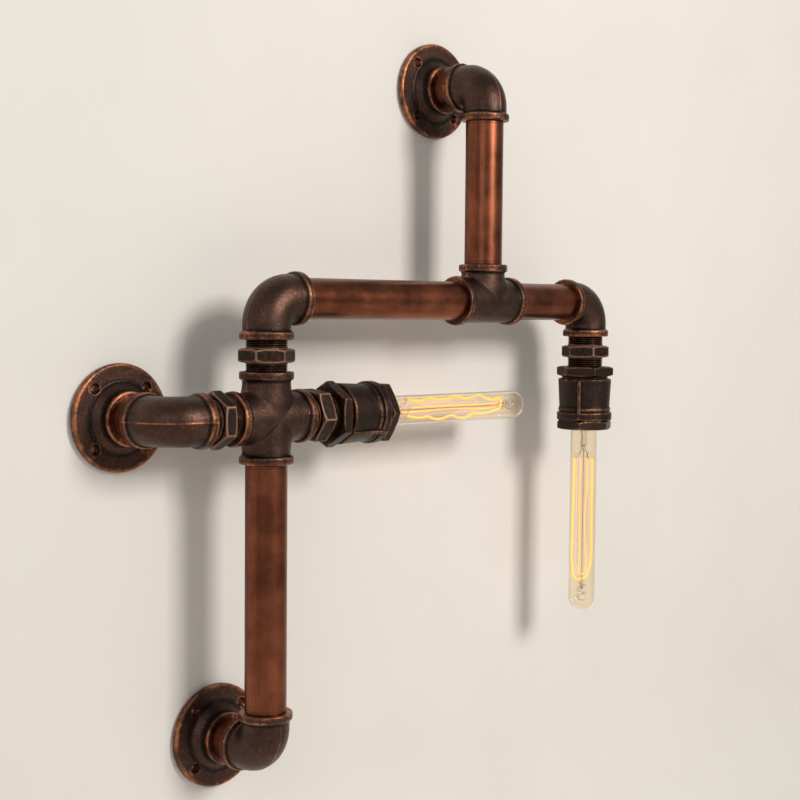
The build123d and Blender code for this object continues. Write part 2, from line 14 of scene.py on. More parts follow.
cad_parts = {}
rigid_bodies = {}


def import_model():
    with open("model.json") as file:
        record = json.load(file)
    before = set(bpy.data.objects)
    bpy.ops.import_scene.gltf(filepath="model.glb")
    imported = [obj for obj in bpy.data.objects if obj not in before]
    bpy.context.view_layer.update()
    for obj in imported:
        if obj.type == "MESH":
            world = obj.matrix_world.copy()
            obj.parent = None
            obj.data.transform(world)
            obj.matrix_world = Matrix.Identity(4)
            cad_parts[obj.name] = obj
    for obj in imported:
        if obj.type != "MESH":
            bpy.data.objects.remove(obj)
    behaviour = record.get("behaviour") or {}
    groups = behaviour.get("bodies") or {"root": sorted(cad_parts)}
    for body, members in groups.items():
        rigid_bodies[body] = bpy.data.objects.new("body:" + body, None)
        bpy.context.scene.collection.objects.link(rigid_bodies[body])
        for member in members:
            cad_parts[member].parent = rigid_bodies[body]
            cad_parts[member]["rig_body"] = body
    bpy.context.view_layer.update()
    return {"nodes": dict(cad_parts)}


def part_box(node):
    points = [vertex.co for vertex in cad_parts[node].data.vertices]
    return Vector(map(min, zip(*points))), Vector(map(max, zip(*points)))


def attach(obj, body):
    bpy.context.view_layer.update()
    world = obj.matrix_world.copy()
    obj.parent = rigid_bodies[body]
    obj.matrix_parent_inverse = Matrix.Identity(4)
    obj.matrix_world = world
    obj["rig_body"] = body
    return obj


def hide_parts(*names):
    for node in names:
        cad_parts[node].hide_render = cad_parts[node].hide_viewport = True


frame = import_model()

MM = 0.001
NODES = frame["nodes"]
log = logging.getLogger("pipe_light")

Outline = list[tuple[float, float]]


class Way(Enum):
    """Directions in which a pipe, a cup or an arm of a fitting can point."""

    RIGHT = (1, 0, 0)
    LEFT = (-1, 0, 0)
    UP = (0, 0, 1)
    DOWN = (0, 0, -1)
    WALL = (0, 1, 0)
    FRONT = (0, -1, 0)


# ------------------------------------------------------------------ shader helpers
def colour(hex_code: str) -> tuple[float, float, float, float]:
    """Turns an sRGB hex colour into the linear colour that a shader takes.

    Args:
        hex_code: Colour written as "#RRGGBB".

    Returns:
        Linear red, green, blue and an alpha of 1.
    """
    parts = [int(hex_code[i:i + 2], 16) / 255 for i in (1, 3, 5)]
    linear = [p / 12.92 if p <= 0.04045 else ((p + 0.055) / 1.055) ** 2.4 for p in parts]
    return (*linear, 1.0)


def add_node(tree: bpy.types.NodeTree, kind: str, values: dict | None = None,
             links: dict | None = None, **settings: object) -> bpy.types.Node:
    """Adds one shader node with its settings, input values and incoming links.

    Args:
        tree: Node tree to add to.
        kind: Node type, such as "ShaderNodeTexNoise".
        values: Input name or number to constant value.
        links: Input name or number to the output socket that feeds it.
        **settings: Attributes of the node.

    Returns:
        The new node.
    """
    made = tree.nodes.new(kind)
    for name, value in settings.items():
        setattr(made, name, value)
    for key, value in (values or {}).items():
        made.inputs[key].default_value = value
    for key, source in (links or {}).items():
        tree.links.new(source, made.inputs[key])
    return made


class Shader:
    """A material under construction: its tree, its main shader and its coordinates."""

    def __init__(self, name: str) -> None:
        """Starts a material with one main shader, whose patterns read the piece's own coordinates.

        Args:
            name: Name of the material.
        """
        self.material = bpy.data.materials.new(name)
        self.material.use_nodes = True
        self.tree = self.material.node_tree
        self.main = self.tree.nodes["Principled BSDF"]
        self.place = self.add("ShaderNodeTexCoord").outputs["Object"]

    def add(self, kind: str, values: dict | None = None, links: dict | None = None,
            **settings: object) -> bpy.types.Node:
        """Adds a node to this material's tree."""
        return add_node(self.tree, kind, values, links, **settings)

    def set(self, **values: object) -> None:
        """Sets constant inputs of the main shader, with underscores for spaces."""
        for name, value in values.items():
            self.main.inputs[name.replace("_", " ")].default_value = value

    def feed(self, name: str, source: bpy.types.NodeSocket) -> None:
        """Links a pattern to an input of the main shader."""
        self.tree.links.new(source, self.main.inputs[name])

    def stretched(self, scale: tuple[float, float, float]) -> bpy.types.NodeSocket:
        """Coordinates stretched along an axis, for drawn or rubbed surfaces."""
        return self.add("ShaderNodeMapping", {"Scale": scale}, {"Vector": self.place}).outputs[0]

    def noise(self, size_mm: float, detail: float = 3.0, roughness: float = 0.5,
              place: bpy.types.NodeSocket | None = None) -> bpy.types.NodeSocket:
        """Noise whose lumps are about size_mm across.

        Args:
            size_mm: Size of one lump in millimetres.
            detail: Octaves of finer noise.
            roughness: Strength of the finer octaves.
            place: Coordinates, by default the piece's own.

        Returns:
            The noise's factor.
        """
        made = self.add("ShaderNodeTexNoise",
                        {"Scale": 1 / (size_mm * MM), "Detail": detail, "Roughness": roughness},
                        {"Vector": place or self.place})
        return made.outputs["Fac"]

    def steps(self, source: bpy.types.NodeSocket, low: float, high: float,
              to_low: float = 0.0, to_high: float = 1.0) -> bpy.types.NodeSocket:
        """Maps a value from one range to another and clamps it.

        Args:
            source: Value to map.
            low: Value that becomes to_low.
            high: Value that becomes to_high, which may lie below low.
            to_low: Result at and before low.
            to_high: Result at and past high.

        Returns:
            The mapped value.
        """
        made = self.add("ShaderNodeMapRange", {"From Min": low, "From Max": high,
                                               "To Min": to_low, "To Max": to_high},
                        {"Value": source}, interpolation_type="SMOOTHSTEP")
        return made.outputs["Result"]

    def maths(self, operation: str, first: object, second: object) -> bpy.types.NodeSocket:
        """Joins two values, each a socket or a number.

        Args:
            operation: Name of the sum, such as "MULTIPLY".
            first: First value.
            second: Second value.

        Returns:
            The result.
        """
        made = self.add("ShaderNodeMath", operation=operation)
        for slot, item in enumerate((first, second)):
            if isinstance(item, bpy.types.NodeSocket):
                self.tree.links.new(item, made.inputs[slot])
            else:
                made.inputs[slot].default_value = item
        return made.outputs[0]

    def mix(self, factor: bpy.types.NodeSocket, first: object, second: object) -> bpy.types.NodeSocket:
        """Blends two colours, each a socket or a hex colour.

        Args:
            factor: 0 for the first colour and 1 for the second.
            first: First colour.
            second: Second colour.

        Returns:
            The blended colour.
        """
        made = self.add("ShaderNodeMix", links={"Factor": factor}, data_type="RGBA")
        for slot, item in (("A_Color", first), ("B_Color", second)):
            target = next(i for i in made.inputs if i.identifier == slot)
            if isinstance(item, bpy.types.NodeSocket):
                self.tree.links.new(item, target)
            else:
                target.default_value = colour(item)
        return next(o for o in made.outputs if o.identifier == "Result_Color")

    def attribute(self, name: str) -> bpy.types.NodeSocket:
        """Reads a value stored on the piece's own mesh."""
        return self.add("ShaderNodeAttribute", attribute_name=name).outputs["Fac"]

    def bump(self, height: bpy.types.NodeSocket, depth_mm: float) -> None:
        """Lays fine relief over the surface, depth_mm deep."""
        made = self.add("ShaderNodeBump", {"Distance": depth_mm * MM, "Strength": 1.0},
                        {"Height": height})
        self.feed("Normal", made.outputs[0])


# ------------------------------------------------------------------ finishes
@dataclass(frozen=True)
class BronzedSteel:
    """Antique bronze on drawn steel pipe: a copper wash, rubbed along the pipe and lacquered satin."""

    name: str
    along: Way
    light: str = "#8C523A"
    middle: str = "#653A29"
    dark: str = "#2C1912"
    squeeze: float = 0.06

    def material(self) -> bpy.types.Material:
        """Builds the pipe finish.

        Returns:
            A satin metal with long faint streaks, cloudy patina and dark ends.
        """
        shader = Shader(self.name)
        scale = tuple(self.squeeze if abs(part) else 1.0 for part in self.along.value)
        streaks = shader.noise(1.6, 4, 0.6, shader.stretched(scale))
        clouds = shader.noise(38, 4, 0.6)
        base = shader.mix(shader.steps(clouds, 0.3, 0.72), self.middle, self.light)
        base = shader.mix(shader.steps(streaks, 0.52, 0.8, 0.0, 0.45), base, self.dark)
        ends = shader.steps(shader.attribute("relief"), -1.0, -0.05, 0.85, 0.0)
        base = shader.mix(ends, base, self.dark)
        shader.feed("Base Color", base)
        shader.set(Metallic=1.0)
        shader.feed("Roughness", shader.steps(shader.maths("ADD", streaks, clouds), 0.7, 1.3, 0.27, 0.40))
        grain = shader.noise(0.5, 3, 0.6, shader.stretched(scale))
        shader.bump(grain, 0.02)
        return shader.material


@dataclass(frozen=True)
class CastBronze:
    """Malleable iron, sand cast and bronzed: near black in the hollows, rubbed to copper on the edges."""

    name: str
    body: str = "#52382D"
    cloud: str = "#33241E"
    hollow: str = "#140E0C"
    # Copper of the rubbed wear; on the band crowns and in the light grain specks it also stands in for
    # painted highlight and painted glints.
    rubbed: str = "#B8744E"
    shine: float = 0.38

    def material(self) -> bpy.types.Material:
        """Builds the cast finish.

        Returns:
            A grainy dark metal, mottled by handling, whose edges are worn to copper here and there, with
            copper on the band crowns that is partly painted highlight and light specks that are partly
            painted glints.
        """
        shader = Shader(self.name)
        relief, edge = shader.attribute("relief"), shader.attribute("edge")
        patches = shader.noise(8, 6, 0.66)
        sand = shader.noise(1.5, 3, 0.7)
        where = shader.noise(24, 4, 0.6)
        half_patches, half_where = (shader.maths("MULTIPLY", pattern, 0.5) for pattern in (patches, where))
        mottle = shader.maths("ADD", half_patches, half_where)
        base = shader.mix(shader.steps(mottle, 0.30, 0.70), self.cloud, self.body)
        base = shader.mix(shader.steps(relief, -0.05, -0.45, 0.0, 0.95), base, self.hollow)
        handled = shader.steps(where, 0.42, 0.58, 0.2, 1.0)
        worn = shader.maths("MULTIPLY", shader.steps(edge, 0.30, 0.85), handled)
        worn = shader.maths("MULTIPLY", worn, shader.steps(patches, 0.30, 0.52, 0.35, 1.0))
        # Copper patches on the raised band crowns: partly rubbed wear, partly a painted highlight where the
        # crowns catch the light.
        rub = shader.steps(shader.noise(4, 6, 0.7), 0.40, 0.62, 0.0, 0.85)
        crown_rub_and_highlight = shader.maths("MULTIPLY", rub, handled)
        flats = shader.maths("MULTIPLY", shader.steps(relief, 0.27, 0.44), crown_rub_and_highlight)
        worn = shader.maths("MAXIMUM", worn, flats)
        base = shader.mix(worn, base, self.rubbed)
        base = shader.mix(shader.steps(sand, 0.54, 0.68, 0.0, 0.55), base, self.hollow)
        # Light copper specks in the sand grain: partly copper grain, partly painted glints of the grain.
        base = shader.mix(shader.steps(sand, 0.44, 0.30, 0.0, 0.30), base, self.rubbed)
        shader.feed("Base Color", base)
        shader.set(Metallic=1.0, Coat_Weight=0.25, Coat_Roughness=0.42)
        shader.feed("Roughness", shader.steps(sand, 0.3, 0.7, self.shine - 0.06, self.shine + 0.14))
        shader.bump(shader.maths("ADD", sand, shader.maths("MULTIPLY", patches, 1.5)), 0.28)
        return shader.material


@dataclass(frozen=True)
class MachinedIron:
    """Turned and threaded iron, blackened and oiled: grey where a wrench or a die has bared it."""

    name: str
    body: str = "#3A2C25"
    film: str = "#17110E"
    bare: str = "#96705A"

    def material(self) -> bpy.types.Material:
        """Builds the machined finish.

        Returns:
            A dark oiled metal with bare crests and rubbed flats.
        """
        shader = Shader(self.name)
        relief = shader.attribute("relief")
        rub = shader.noise(6, 5, 0.65)
        grit = shader.noise(1.2, 3, 0.7)
        base = shader.mix(shader.steps(rub, 0.30, 0.75), self.body, self.film)
        base = shader.mix(shader.steps(grit, 0.52, 0.68, 0.0, 0.6), base, self.film)
        scratches = shader.noise(0.6, 3, 0.7, shader.stretched((1.0, 0.12, 0.35)))
        base = shader.mix(shader.steps(scratches, 0.56, 0.70, 0.0, 0.5), base, self.bare)
        base = shader.mix(shader.steps(relief, -0.05, -0.5, 0.0, 0.9), base, self.film)
        uneven = shader.maths("MULTIPLY", shader.maths("SUBTRACT", rub, 0.5), 0.9)
        bared = shader.steps(shader.maths("ADD", relief, uneven), 0.10, 0.55, 0.0, 0.9)
        base = shader.mix(bared, base, self.bare)
        shader.feed("Base Color", base)
        shader.set(Metallic=1.0, Coat_Weight=0.15, Coat_Roughness=0.45)
        shader.feed("Roughness", shader.steps(shader.maths("ADD", grit, scratches), 0.7, 1.3, 0.44, 0.62))
        shader.bump(shader.maths("ADD", grit, scratches), 0.16)
        return shader.material


@dataclass(frozen=True)
class SheetMetal:
    """Thin stamped or drawn metal, as on bulb caps, contacts and support wires."""

    name: str
    body: str
    tarnish: str
    roughness: float = 0.28

    def material(self) -> bpy.types.Material:
        """Builds the sheet metal finish.

        Returns:
            A bright metal, lightly tarnished in spots.
        """
        shader = Shader(self.name)
        stain = shader.noise(4, 4, 0.6)
        tarnished = shader.steps(stain, 0.42, 0.75, 0.0, 0.7)
        shader.feed("Base Color", shader.mix(tarnished, self.body, self.tarnish))
        shader.set(Metallic=1.0)
        shader.feed("Roughness", shader.steps(stain, 0.3, 0.7, self.roughness, self.roughness + 0.15))
        return shader.material


@dataclass(frozen=True)
class BulbGlass:
    """Blown soda-lime glass with the faintest breath of amber, clear and fire polished."""

    name: str
    tint: str = "#FFF8EA"

    def material(self) -> bpy.types.Material:
        """Builds the glass.

        Returns:
            Clear glass with the slight ripple of a drawn tube.
        """
        shader = Shader(self.name)
        shader.set(Base_Color=colour(self.tint), Roughness=0.02, IOR=1.5, Transmission_Weight=1.0)
        shader.bump(shader.noise(22, 2, 0.4), 0.05)
        return shader.material


@dataclass(frozen=True)
class GlazedPorcelain:
    """White porcelain under a clear glaze, a little uneven, with a few brown firing specks."""

    name: str
    body: str = "#E9E4D8"
    speck: str = "#8A7560"

    def material(self) -> bpy.types.Material:
        """Builds the glazed ceramic.

        Returns:
            A glossy white with a few specks.
        """
        shader = Shader(self.name)
        specks = shader.steps(shader.noise(0.8, 2, 0.5), 0.74, 0.8, 0.0, 0.6)
        shader.feed("Base Color", shader.mix(specks, self.body, self.speck))
        shader.set(Roughness=0.12, IOR=1.5, Coat_Weight=0.6, Coat_Roughness=0.05)
        shader.bump(shader.noise(6, 2, 0.5), 0.06)
        return shader.material


@dataclass(frozen=True)
class BlackVitrite:
    """Black glass moulded between the cap and its eyelet."""

    name: str
    body: str = "#141012"
    haze: str = "#2A2426"

    def material(self) -> bpy.types.Material:
        """Builds the black glass.

        Returns:
            A glossy black with a faint haze.
        """
        shader = Shader(self.name)
        shader.feed("Base Color", shader.mix(shader.noise(3, 3, 0.5), self.body, self.haze))
        shader.set(Roughness=0.15, IOR=1.5)
        return shader.material


@dataclass(frozen=True)
class RubberSheath:
    """Matt black rubber cable sheath."""

    name: str
    body: str = "#1B1A1A"
    scuff: str = "#3A3836"

    def material(self) -> bpy.types.Material:
        """Builds the rubber.

        Returns:
            A matt black with light scuffs.
        """
        shader = Shader(self.name)
        scuffs = shader.steps(shader.noise(2.5, 4, 0.6), 0.55, 0.75)
        shader.feed("Base Color", shader.mix(scuffs, self.body, self.scuff))
        shader.set(Roughness=0.7)
        shader.bump(shader.noise(0.6, 2, 0.5), 0.03)
        return shader.material


@dataclass(frozen=True)
class HotCarbon:
    """Carbon filament at working heat: pale yellow where it is hottest, amber where it is cooler."""

    name: str
    cool: str = "#FF8A30"
    hot: str = "#FFA05C"
    strength: float = 3.2

    def material(self) -> bpy.types.Material:
        """Builds the glowing filament.

        Returns:
            A glow that is uneven along the wire, and paler where "heat" is high.
        """
        shader = Shader(self.name)
        uneven = shader.maths("MULTIPLY", shader.maths("SUBTRACT", shader.noise(5, 2, 0.5), 0.5), 0.8)
        heat = shader.steps(shader.maths("ADD", shader.attribute("heat"), uneven), 0.1, 0.75)
        glow = shader.mix(heat, self.cool, self.hot)
        shader.feed("Emission Color", glow)
        shader.feed("Base Color", glow)
        shader.set(Emission_Strength=self.strength, Roughness=0.6)
        return shader.material


class Finish:
    """Every finish on the light, made once and handed out by name."""

    made: ClassVar[dict[str, bpy.types.Material]] = {}

    @classmethod
    def all(cls) -> None:
        """Makes every material once."""
        finishes = (
            BronzedSteel("bronzed_steel_upright", Way.UP),
            BronzedSteel("bronzed_steel_level", Way.RIGHT),
            BronzedSteel("bronzed_steel_to_wall", Way.WALL),
            CastBronze("cast_bronzed_iron"),
            # The cup's copper likewise carries wear, painted crown highlight and painted grain glints.
            CastBronze("cast_bronzed_cup", body="#382821", cloud="#211814", hollow="#0F0B09",
                       rubbed="#9A6A4A", shine=0.42),
            MachinedIron("blackened_machined_iron"),
            SheetMetal("stamped_brass", "#C9A160", "#8A6636"),
            SheetMetal("nickel_wire", "#DDD2BE", "#A89A84", roughness=0.3),
            SheetMetal("dull_solder", "#B4B4B2", "#7A7A78", roughness=0.45),
            SheetMetal("plated_screw", "#B8B6B0", "#6E6A62", roughness=0.3),
            BulbGlass("amber_bulb_glass"),
            BulbGlass("clear_stem_glass", tint="#F4EEE2"),
            GlazedPorcelain("glazed_porcelain"),
            BlackVitrite("black_vitrite"),
            RubberSheath("rubber_sheath"),
            HotCarbon("hot_carbon_filament"),
        )
        for finish in finishes:
            cls.made[finish.name] = finish.material()


# ------------------------------------------------------------------ hand operations
class Bench:
    """The few modelling operations that every piece is made with. Profiles are in millimetres."""

    @staticmethod
    def clear() -> None:
        """Leaves edit mode and deselects everything."""
        if bpy.context.object and bpy.context.object.mode != "OBJECT":
            bpy.ops.object.mode_set(mode="OBJECT")
        bpy.ops.object.select_all(action="DESELECT")

    @staticmethod
    def pick(piece: bpy.types.Object) -> None:
        """Selects one piece and makes it active."""
        Bench.clear()
        piece.select_set(True)
        bpy.context.view_layer.objects.active = piece

    @staticmethod
    def named(name: str) -> bpy.types.Object:
        """Names the object that was just made.

        Args:
            name: Name for the object and its mesh.

        Returns:
            The object.
        """
        piece = bpy.context.object
        piece.name = name
        piece.data.name = name
        return piece

    @staticmethod
    def turned(name: str, outline: Outline, segments: int = 96) -> bpy.types.Object:
        """Turns a closed outline round Z: it is drawn point by point and spun.

        Args:
            name: Name of the piece.
            outline: (radius, height) points in millimetres.
            segments: Steps round the axis.

        Returns:
            The closed solid.
        """
        Bench.clear()
        bpy.ops.mesh.primitive_plane_add(size=MM)
        piece = Bench.named(name)
        bpy.ops.object.mode_set(mode="EDIT")
        bpy.ops.mesh.select_all(action="SELECT")
        bpy.ops.mesh.merge(type="CENTER")
        last = (0.0, 0.0)
        for number, point in enumerate([*outline, outline[0]]):
            step = ((point[0] - last[0]) * MM, 0.0, (point[1] - last[1]) * MM)
            if number == 0:
                bpy.ops.transform.translate(value=step)
            else:
                bpy.ops.mesh.extrude_vertices_move(TRANSFORM_OT_translate={"value": step})
            last = point
        bpy.ops.mesh.select_all(action="SELECT")
        bpy.ops.mesh.remove_doubles(threshold=0.001 * MM)
        bpy.ops.mesh.spin(steps=segments, angle=math.tau, center=(0, 0, 0), axis=(0, 0, 1))
        Bench.tidy()
        return piece

    @staticmethod
    def tidy() -> None:
        """Merges doubles, points faces outwards and leaves edit mode."""
        bpy.ops.mesh.select_all(action="SELECT")
        bpy.ops.mesh.remove_doubles(threshold=0.002 * MM)
        bpy.ops.mesh.normals_make_consistent(inside=False)
        bpy.ops.object.mode_set(mode="OBJECT")

    @staticmethod
    def quarter_bend(name: str, radius: float, bend: float, segments: int = 96) -> bpy.types.Object:
        """Solid quarter bend from the +X arm to the +Z arm.

        Args:
            name: Name of the piece.
            radius: Radius of the round section, in millimetres.
            bend: Radius of the bend's centre line, in millimetres.
            segments: Points round the section.

        Returns:
            The closed bend.
        """
        Bench.clear()
        bpy.ops.mesh.primitive_circle_add(vertices=segments, radius=radius * MM, fill_type="NGON",
                                          location=(bend * MM, 0, 0), rotation=(0, math.pi / 2, 0))
        piece = Bench.named(name)
        bpy.ops.object.transform_apply(location=True, rotation=True, scale=True)
        bpy.ops.object.mode_set(mode="EDIT")
        bpy.ops.mesh.select_all(action="SELECT")
        bpy.ops.mesh.duplicate()
        bpy.ops.mesh.spin(steps=24, angle=-math.pi / 2, center=(bend * MM, 0, bend * MM), axis=(0, 1, 0))
        Bench.tidy()
        return piece

    @staticmethod
    def hexagon(name: str, flats: float, low: float, high: float, corner: float,
                turn: float = 0.0) -> bpy.types.Object:
        """Hexagon along Z with its corners bevelled at both ends and its edges eased.

        Args:
            name: Name of the piece.
            flats: Size across flats, in millimetres.
            low: Lower end.
            high: Upper end.
            corner: How far the corner bevel runs along the hexagon.
            turn: Angle of one corner from +X, in degrees.

        Returns:
            The closed hexagon.
        """
        radius = flats / math.cos(math.radians(30)) / 2
        Bench.clear()
        bpy.ops.mesh.primitive_cylinder_add(vertices=6, radius=radius * MM, depth=(high - low) * MM,
                                            location=(0, 0, (low + high) / 2 * MM))
        piece = Bench.named(name)
        bpy.ops.object.transform_apply(location=True)
        piece.data.transform(Matrix.Rotation(math.radians(turn + 30), 4, "Z"))
        drop = radius - flats / 2
        cone = Bench.turned("corner_bevel", [
            (0, low), (radius - drop, low), (radius, low + corner), (radius, high - corner),
            (radius - drop, high), (0, high),
        ])
        Bench.join(piece, cone, "INTERSECT")
        Bench.soften(piece, 0.45)
        return piece

    @staticmethod
    def join(piece: bpy.types.Object, other: bpy.types.Object, operation: str = "UNION") -> None:
        """Adds another solid to a piece, cuts it out, or keeps what they share.

        Args:
            piece: Piece that is changed.
            other: Solid that is used up.
            operation: "UNION", "DIFFERENCE" or "INTERSECT".
        """
        Bench.pick(piece)
        modifier = piece.modifiers.new(operation, "BOOLEAN")
        modifier.operation = operation
        modifier.solver = "EXACT"
        modifier.object = other
        bpy.ops.object.modifier_apply(modifier=modifier.name)
        bpy.data.objects.remove(other)

    @staticmethod
    def soften(piece: bpy.types.Object, width: float, segments: int = 2) -> None:
        """Eases every sharp edge by a bevel.

        Args:
            piece: Piece that is changed.
            width: Width of the bevel, in millimetres.
            segments: Steps across it.
        """
        Bench.pick(piece)
        modifier = piece.modifiers.new("eased_edges", "BEVEL")
        modifier.width = width * MM
        modifier.segments = segments
        modifier.limit_method = "ANGLE"
        modifier.angle_limit = math.radians(28)
        bpy.ops.object.modifier_apply(modifier=modifier.name)

    @staticmethod
    def cast(piece: bpy.types.Object, voxel: float, rounds: int = 4, lumps: float = 0.12,
             lump_size: float = 7.0) -> None:
        """Gives a piece the soft edges and the uneven skin of a sand casting.

        Args:
            piece: Closed solids, joined into one by this.
            voxel: Size of one cell of the new skin, in millimetres.
            rounds: How often the skin is smoothed.
            lumps: Height of the unevenness, in millimetres.
            lump_size: Width of one lump, in millimetres.
        """
        Bench.pick(piece)
        remesh = piece.modifiers.new("skin", "REMESH")
        remesh.mode = "VOXEL"
        remesh.voxel_size = voxel * MM
        bpy.ops.object.modifier_apply(modifier=remesh.name)
        smooth = piece.modifiers.new("soft_edges", "SMOOTH")
        smooth.factor = 0.5
        smooth.iterations = rounds
        bpy.ops.object.modifier_apply(modifier=smooth.name)
        texture = bpy.data.textures.new("sand", "CLOUDS")
        texture.noise_scale = lump_size * MM
        texture.noise_depth = 3
        modifier = piece.modifiers.new("uneven", "DISPLACE")
        modifier.texture = texture
        modifier.texture_coords = "LOCAL"
        modifier.strength = lumps * MM
        modifier.mid_level = 0.5
        bpy.ops.object.modifier_apply(modifier=modifier.name)

    @staticmethod
    def merge_loose(name: str, parts: list[bpy.types.Object]) -> bpy.types.Object:
        """Joins solids into one piece without cutting them.

        Args:
            name: Name of the piece.
            parts: Solids, all used up.

        Returns:
            The piece.
        """
        Bench.clear()
        for part in parts:
            part.select_set(True)
        bpy.context.view_layer.objects.active = parts[0]
        bpy.ops.object.join()
        return Bench.named(name)

    @staticmethod
    def copy(piece: bpy.types.Object, name: str) -> bpy.types.Object:
        """Copies a piece with its own mesh.

        Args:
            piece: Pattern to copy.
            name: Name of the copy.

        Returns:
            The copy.
        """
        Bench.pick(piece)
        bpy.ops.object.duplicate()
        return Bench.named(name)

    @staticmethod
    def points(piece: bpy.types.Object) -> np.ndarray:
        """Reads where a piece's points lie.

        Args:
            piece: Piece to read.

        Returns:
            One row for each point, in metres.
        """
        flat = np.empty(len(piece.data.vertices) * 3)
        piece.data.vertices.foreach_get("co", flat)
        return flat.reshape(-1, 3)

    @staticmethod
    def move_points(piece: bpy.types.Object, points: np.ndarray) -> None:
        """Writes vertex positions back."""
        piece.data.vertices.foreach_set("co", points.ravel())
        piece.data.update()

    @staticmethod
    def wire(name: str, route: list[Vector], diameter: float, sides: int = 3) -> bpy.types.Object:
        """Round wire that runs smoothly through given points.

        Args:
            name: Name of the piece.
            route: Points in millimetres.
            diameter: Diameter in millimetres.
            sides: Half of the sides round the wire.

        Returns:
            The wire as a closed mesh.
        """
        Bench.clear()
        curve = bpy.data.curves.new(name, "CURVE")
        curve.dimensions = "3D"
        curve.bevel_depth = diameter / 2 * MM
        curve.bevel_resolution = sides - 1
        curve.use_fill_caps = True
        curve.resolution_u = 6
        spline = curve.splines.new("BEZIER")
        spline.bezier_points.add(len(route) - 1)
        for point, place in zip(spline.bezier_points, route):
            point.co = place * MM
            point.handle_left_type = point.handle_right_type = "AUTO"
        piece = bpy.data.objects.new(name, curve)
        bpy.context.scene.collection.objects.link(piece)
        Bench.pick(piece)
        bpy.ops.object.convert(target="MESH")
        return Bench.named(name)


def rounded(corners: list[tuple[float, ...]], radius: float = 0.0, steps: int = 5) -> Outline:
    """Rounds the corners of a closed outline with arcs.

    Args:
        corners: (radius, height) or (radius, height, corner radius) in millimetres.
        radius: Corner radius where a corner gives none. Corners on the axis stay sharp.
        steps: Points on each arc.

    Returns:
        The outline with its arcs as points.
    """
    out: Outline = []
    count = len(corners)
    for number, corner in enumerate(corners):
        here = Vector(corner[:2])
        wanted = corner[2] if len(corner) > 2 else radius
        before = Vector(corners[number - 1][:2]) - here
        after = Vector(corners[(number + 1) % count][:2]) - here
        if wanted <= 0 or here.x < 1e-6:
            out.append((here.x, here.y))
            continue
        half = before.angle(after) / 2
        reach = min(wanted / math.tan(half), before.length * 0.49, after.length * 0.49)
        first, last = here + before.normalized() * reach, here + after.normalized() * reach
        for step in range(steps + 1):
            share = step / steps
            point = first * (1 - share) ** 2 + here * 2 * share * (1 - share) + last * share ** 2
            out.append((point.x, point.y))
    return out


def settle(piece: bpy.types.Object, origin: Vector, forward: Way, front: Way) -> None:
    """Puts a piece in its place by moving its mesh.

    Args:
        piece: Piece modelled along +Z with its front along +X.
        origin: Where its own origin goes, in metres.
        forward: Where its +Z goes.
        front: Where its +X goes.
    """
    ahead, side = Vector(forward.value), Vector(front.value)
    turn = Matrix((side, ahead.cross(side), ahead)).transposed().to_4x4()
    piece.data.transform(Matrix.Translation(origin) @ turn)


def keep_inside(piece: bpy.types.Object, node: str) -> None:
    """Holds a piece inside the box of the CAD node that it stands for."""
    low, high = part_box(node)
    Bench.move_points(piece, np.clip(Bench.points(piece), np.array(low), np.array(high)))


def read_relief(piece: bpy.types.Object) -> None:
    """Stores how far each point stands proud of the surface around it: wide as "relief", close as "edge".

    Args:
        piece: Piece to measure.
    """
    points = Bench.points(piece)
    mesh = piece.data
    edges = np.empty(len(mesh.edges) * 2, dtype=np.int64)
    mesh.edges.foreach_get("vertices", edges)
    first, second = edges.reshape(-1, 2).T
    count = len(points)
    degree = np.bincount(first, minlength=count) + np.bincount(second, minlength=count)
    degree = np.maximum(degree, 1)[:, None]
    normals = np.empty(count * 3)
    mesh.vertex_normals.foreach_get("vector", normals)
    normals = normals.reshape(-1, 3)
    smooth = points.copy()
    done = 0
    for name, rounds, full_mm in (("edge", 4, 0.14), ("relief", 14, 0.22)):
        for _ in range(rounds - done):
            total = np.empty_like(smooth)
            for axis in range(3):
                total[:, axis] = (np.bincount(first, smooth[second, axis], count)
                                  + np.bincount(second, smooth[first, axis], count))
            smooth = 0.4 * smooth + 0.6 * total / degree
        done = rounds
        height = ((points - smooth) * normals).sum(1) / (full_mm * MM)
        store(piece, name, np.clip(height, -1, 1))


def store(piece: bpy.types.Object, name: str, values: np.ndarray) -> None:
    """Stores one number for each point of a piece.

    Args:
        piece: Piece to store on.
        name: Name that a material reads.
        values: One number for each point.
    """
    layer = piece.data.attributes.get(name) or piece.data.attributes.new(name, "FLOAT", "POINT")
    layer.data.foreach_set("value", values.astype(np.float32))


def hand_over(piece: bpy.types.Object, node: str, finish: str, smooth: float = 40.0) -> None:
    """Finishes a piece: shading, material, body and the CAD node that it stands for.

    Args:
        piece: Piece in its place.
        node: CAD node that it replaces.
        finish: Name of the material.
        smooth: Angle in degrees under which edges shade smooth.
    """
    Bench.pick(piece)
    bpy.ops.object.shade_smooth_by_angle(angle=math.radians(smooth))
    piece.data.materials.clear()
    piece.data.materials.append(Finish.made[finish])
    cad = NODES[node]
    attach(piece, cad["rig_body"])
    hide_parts(node)
    log.info("%s: %d faces", piece.name, len(piece.data.polygons))


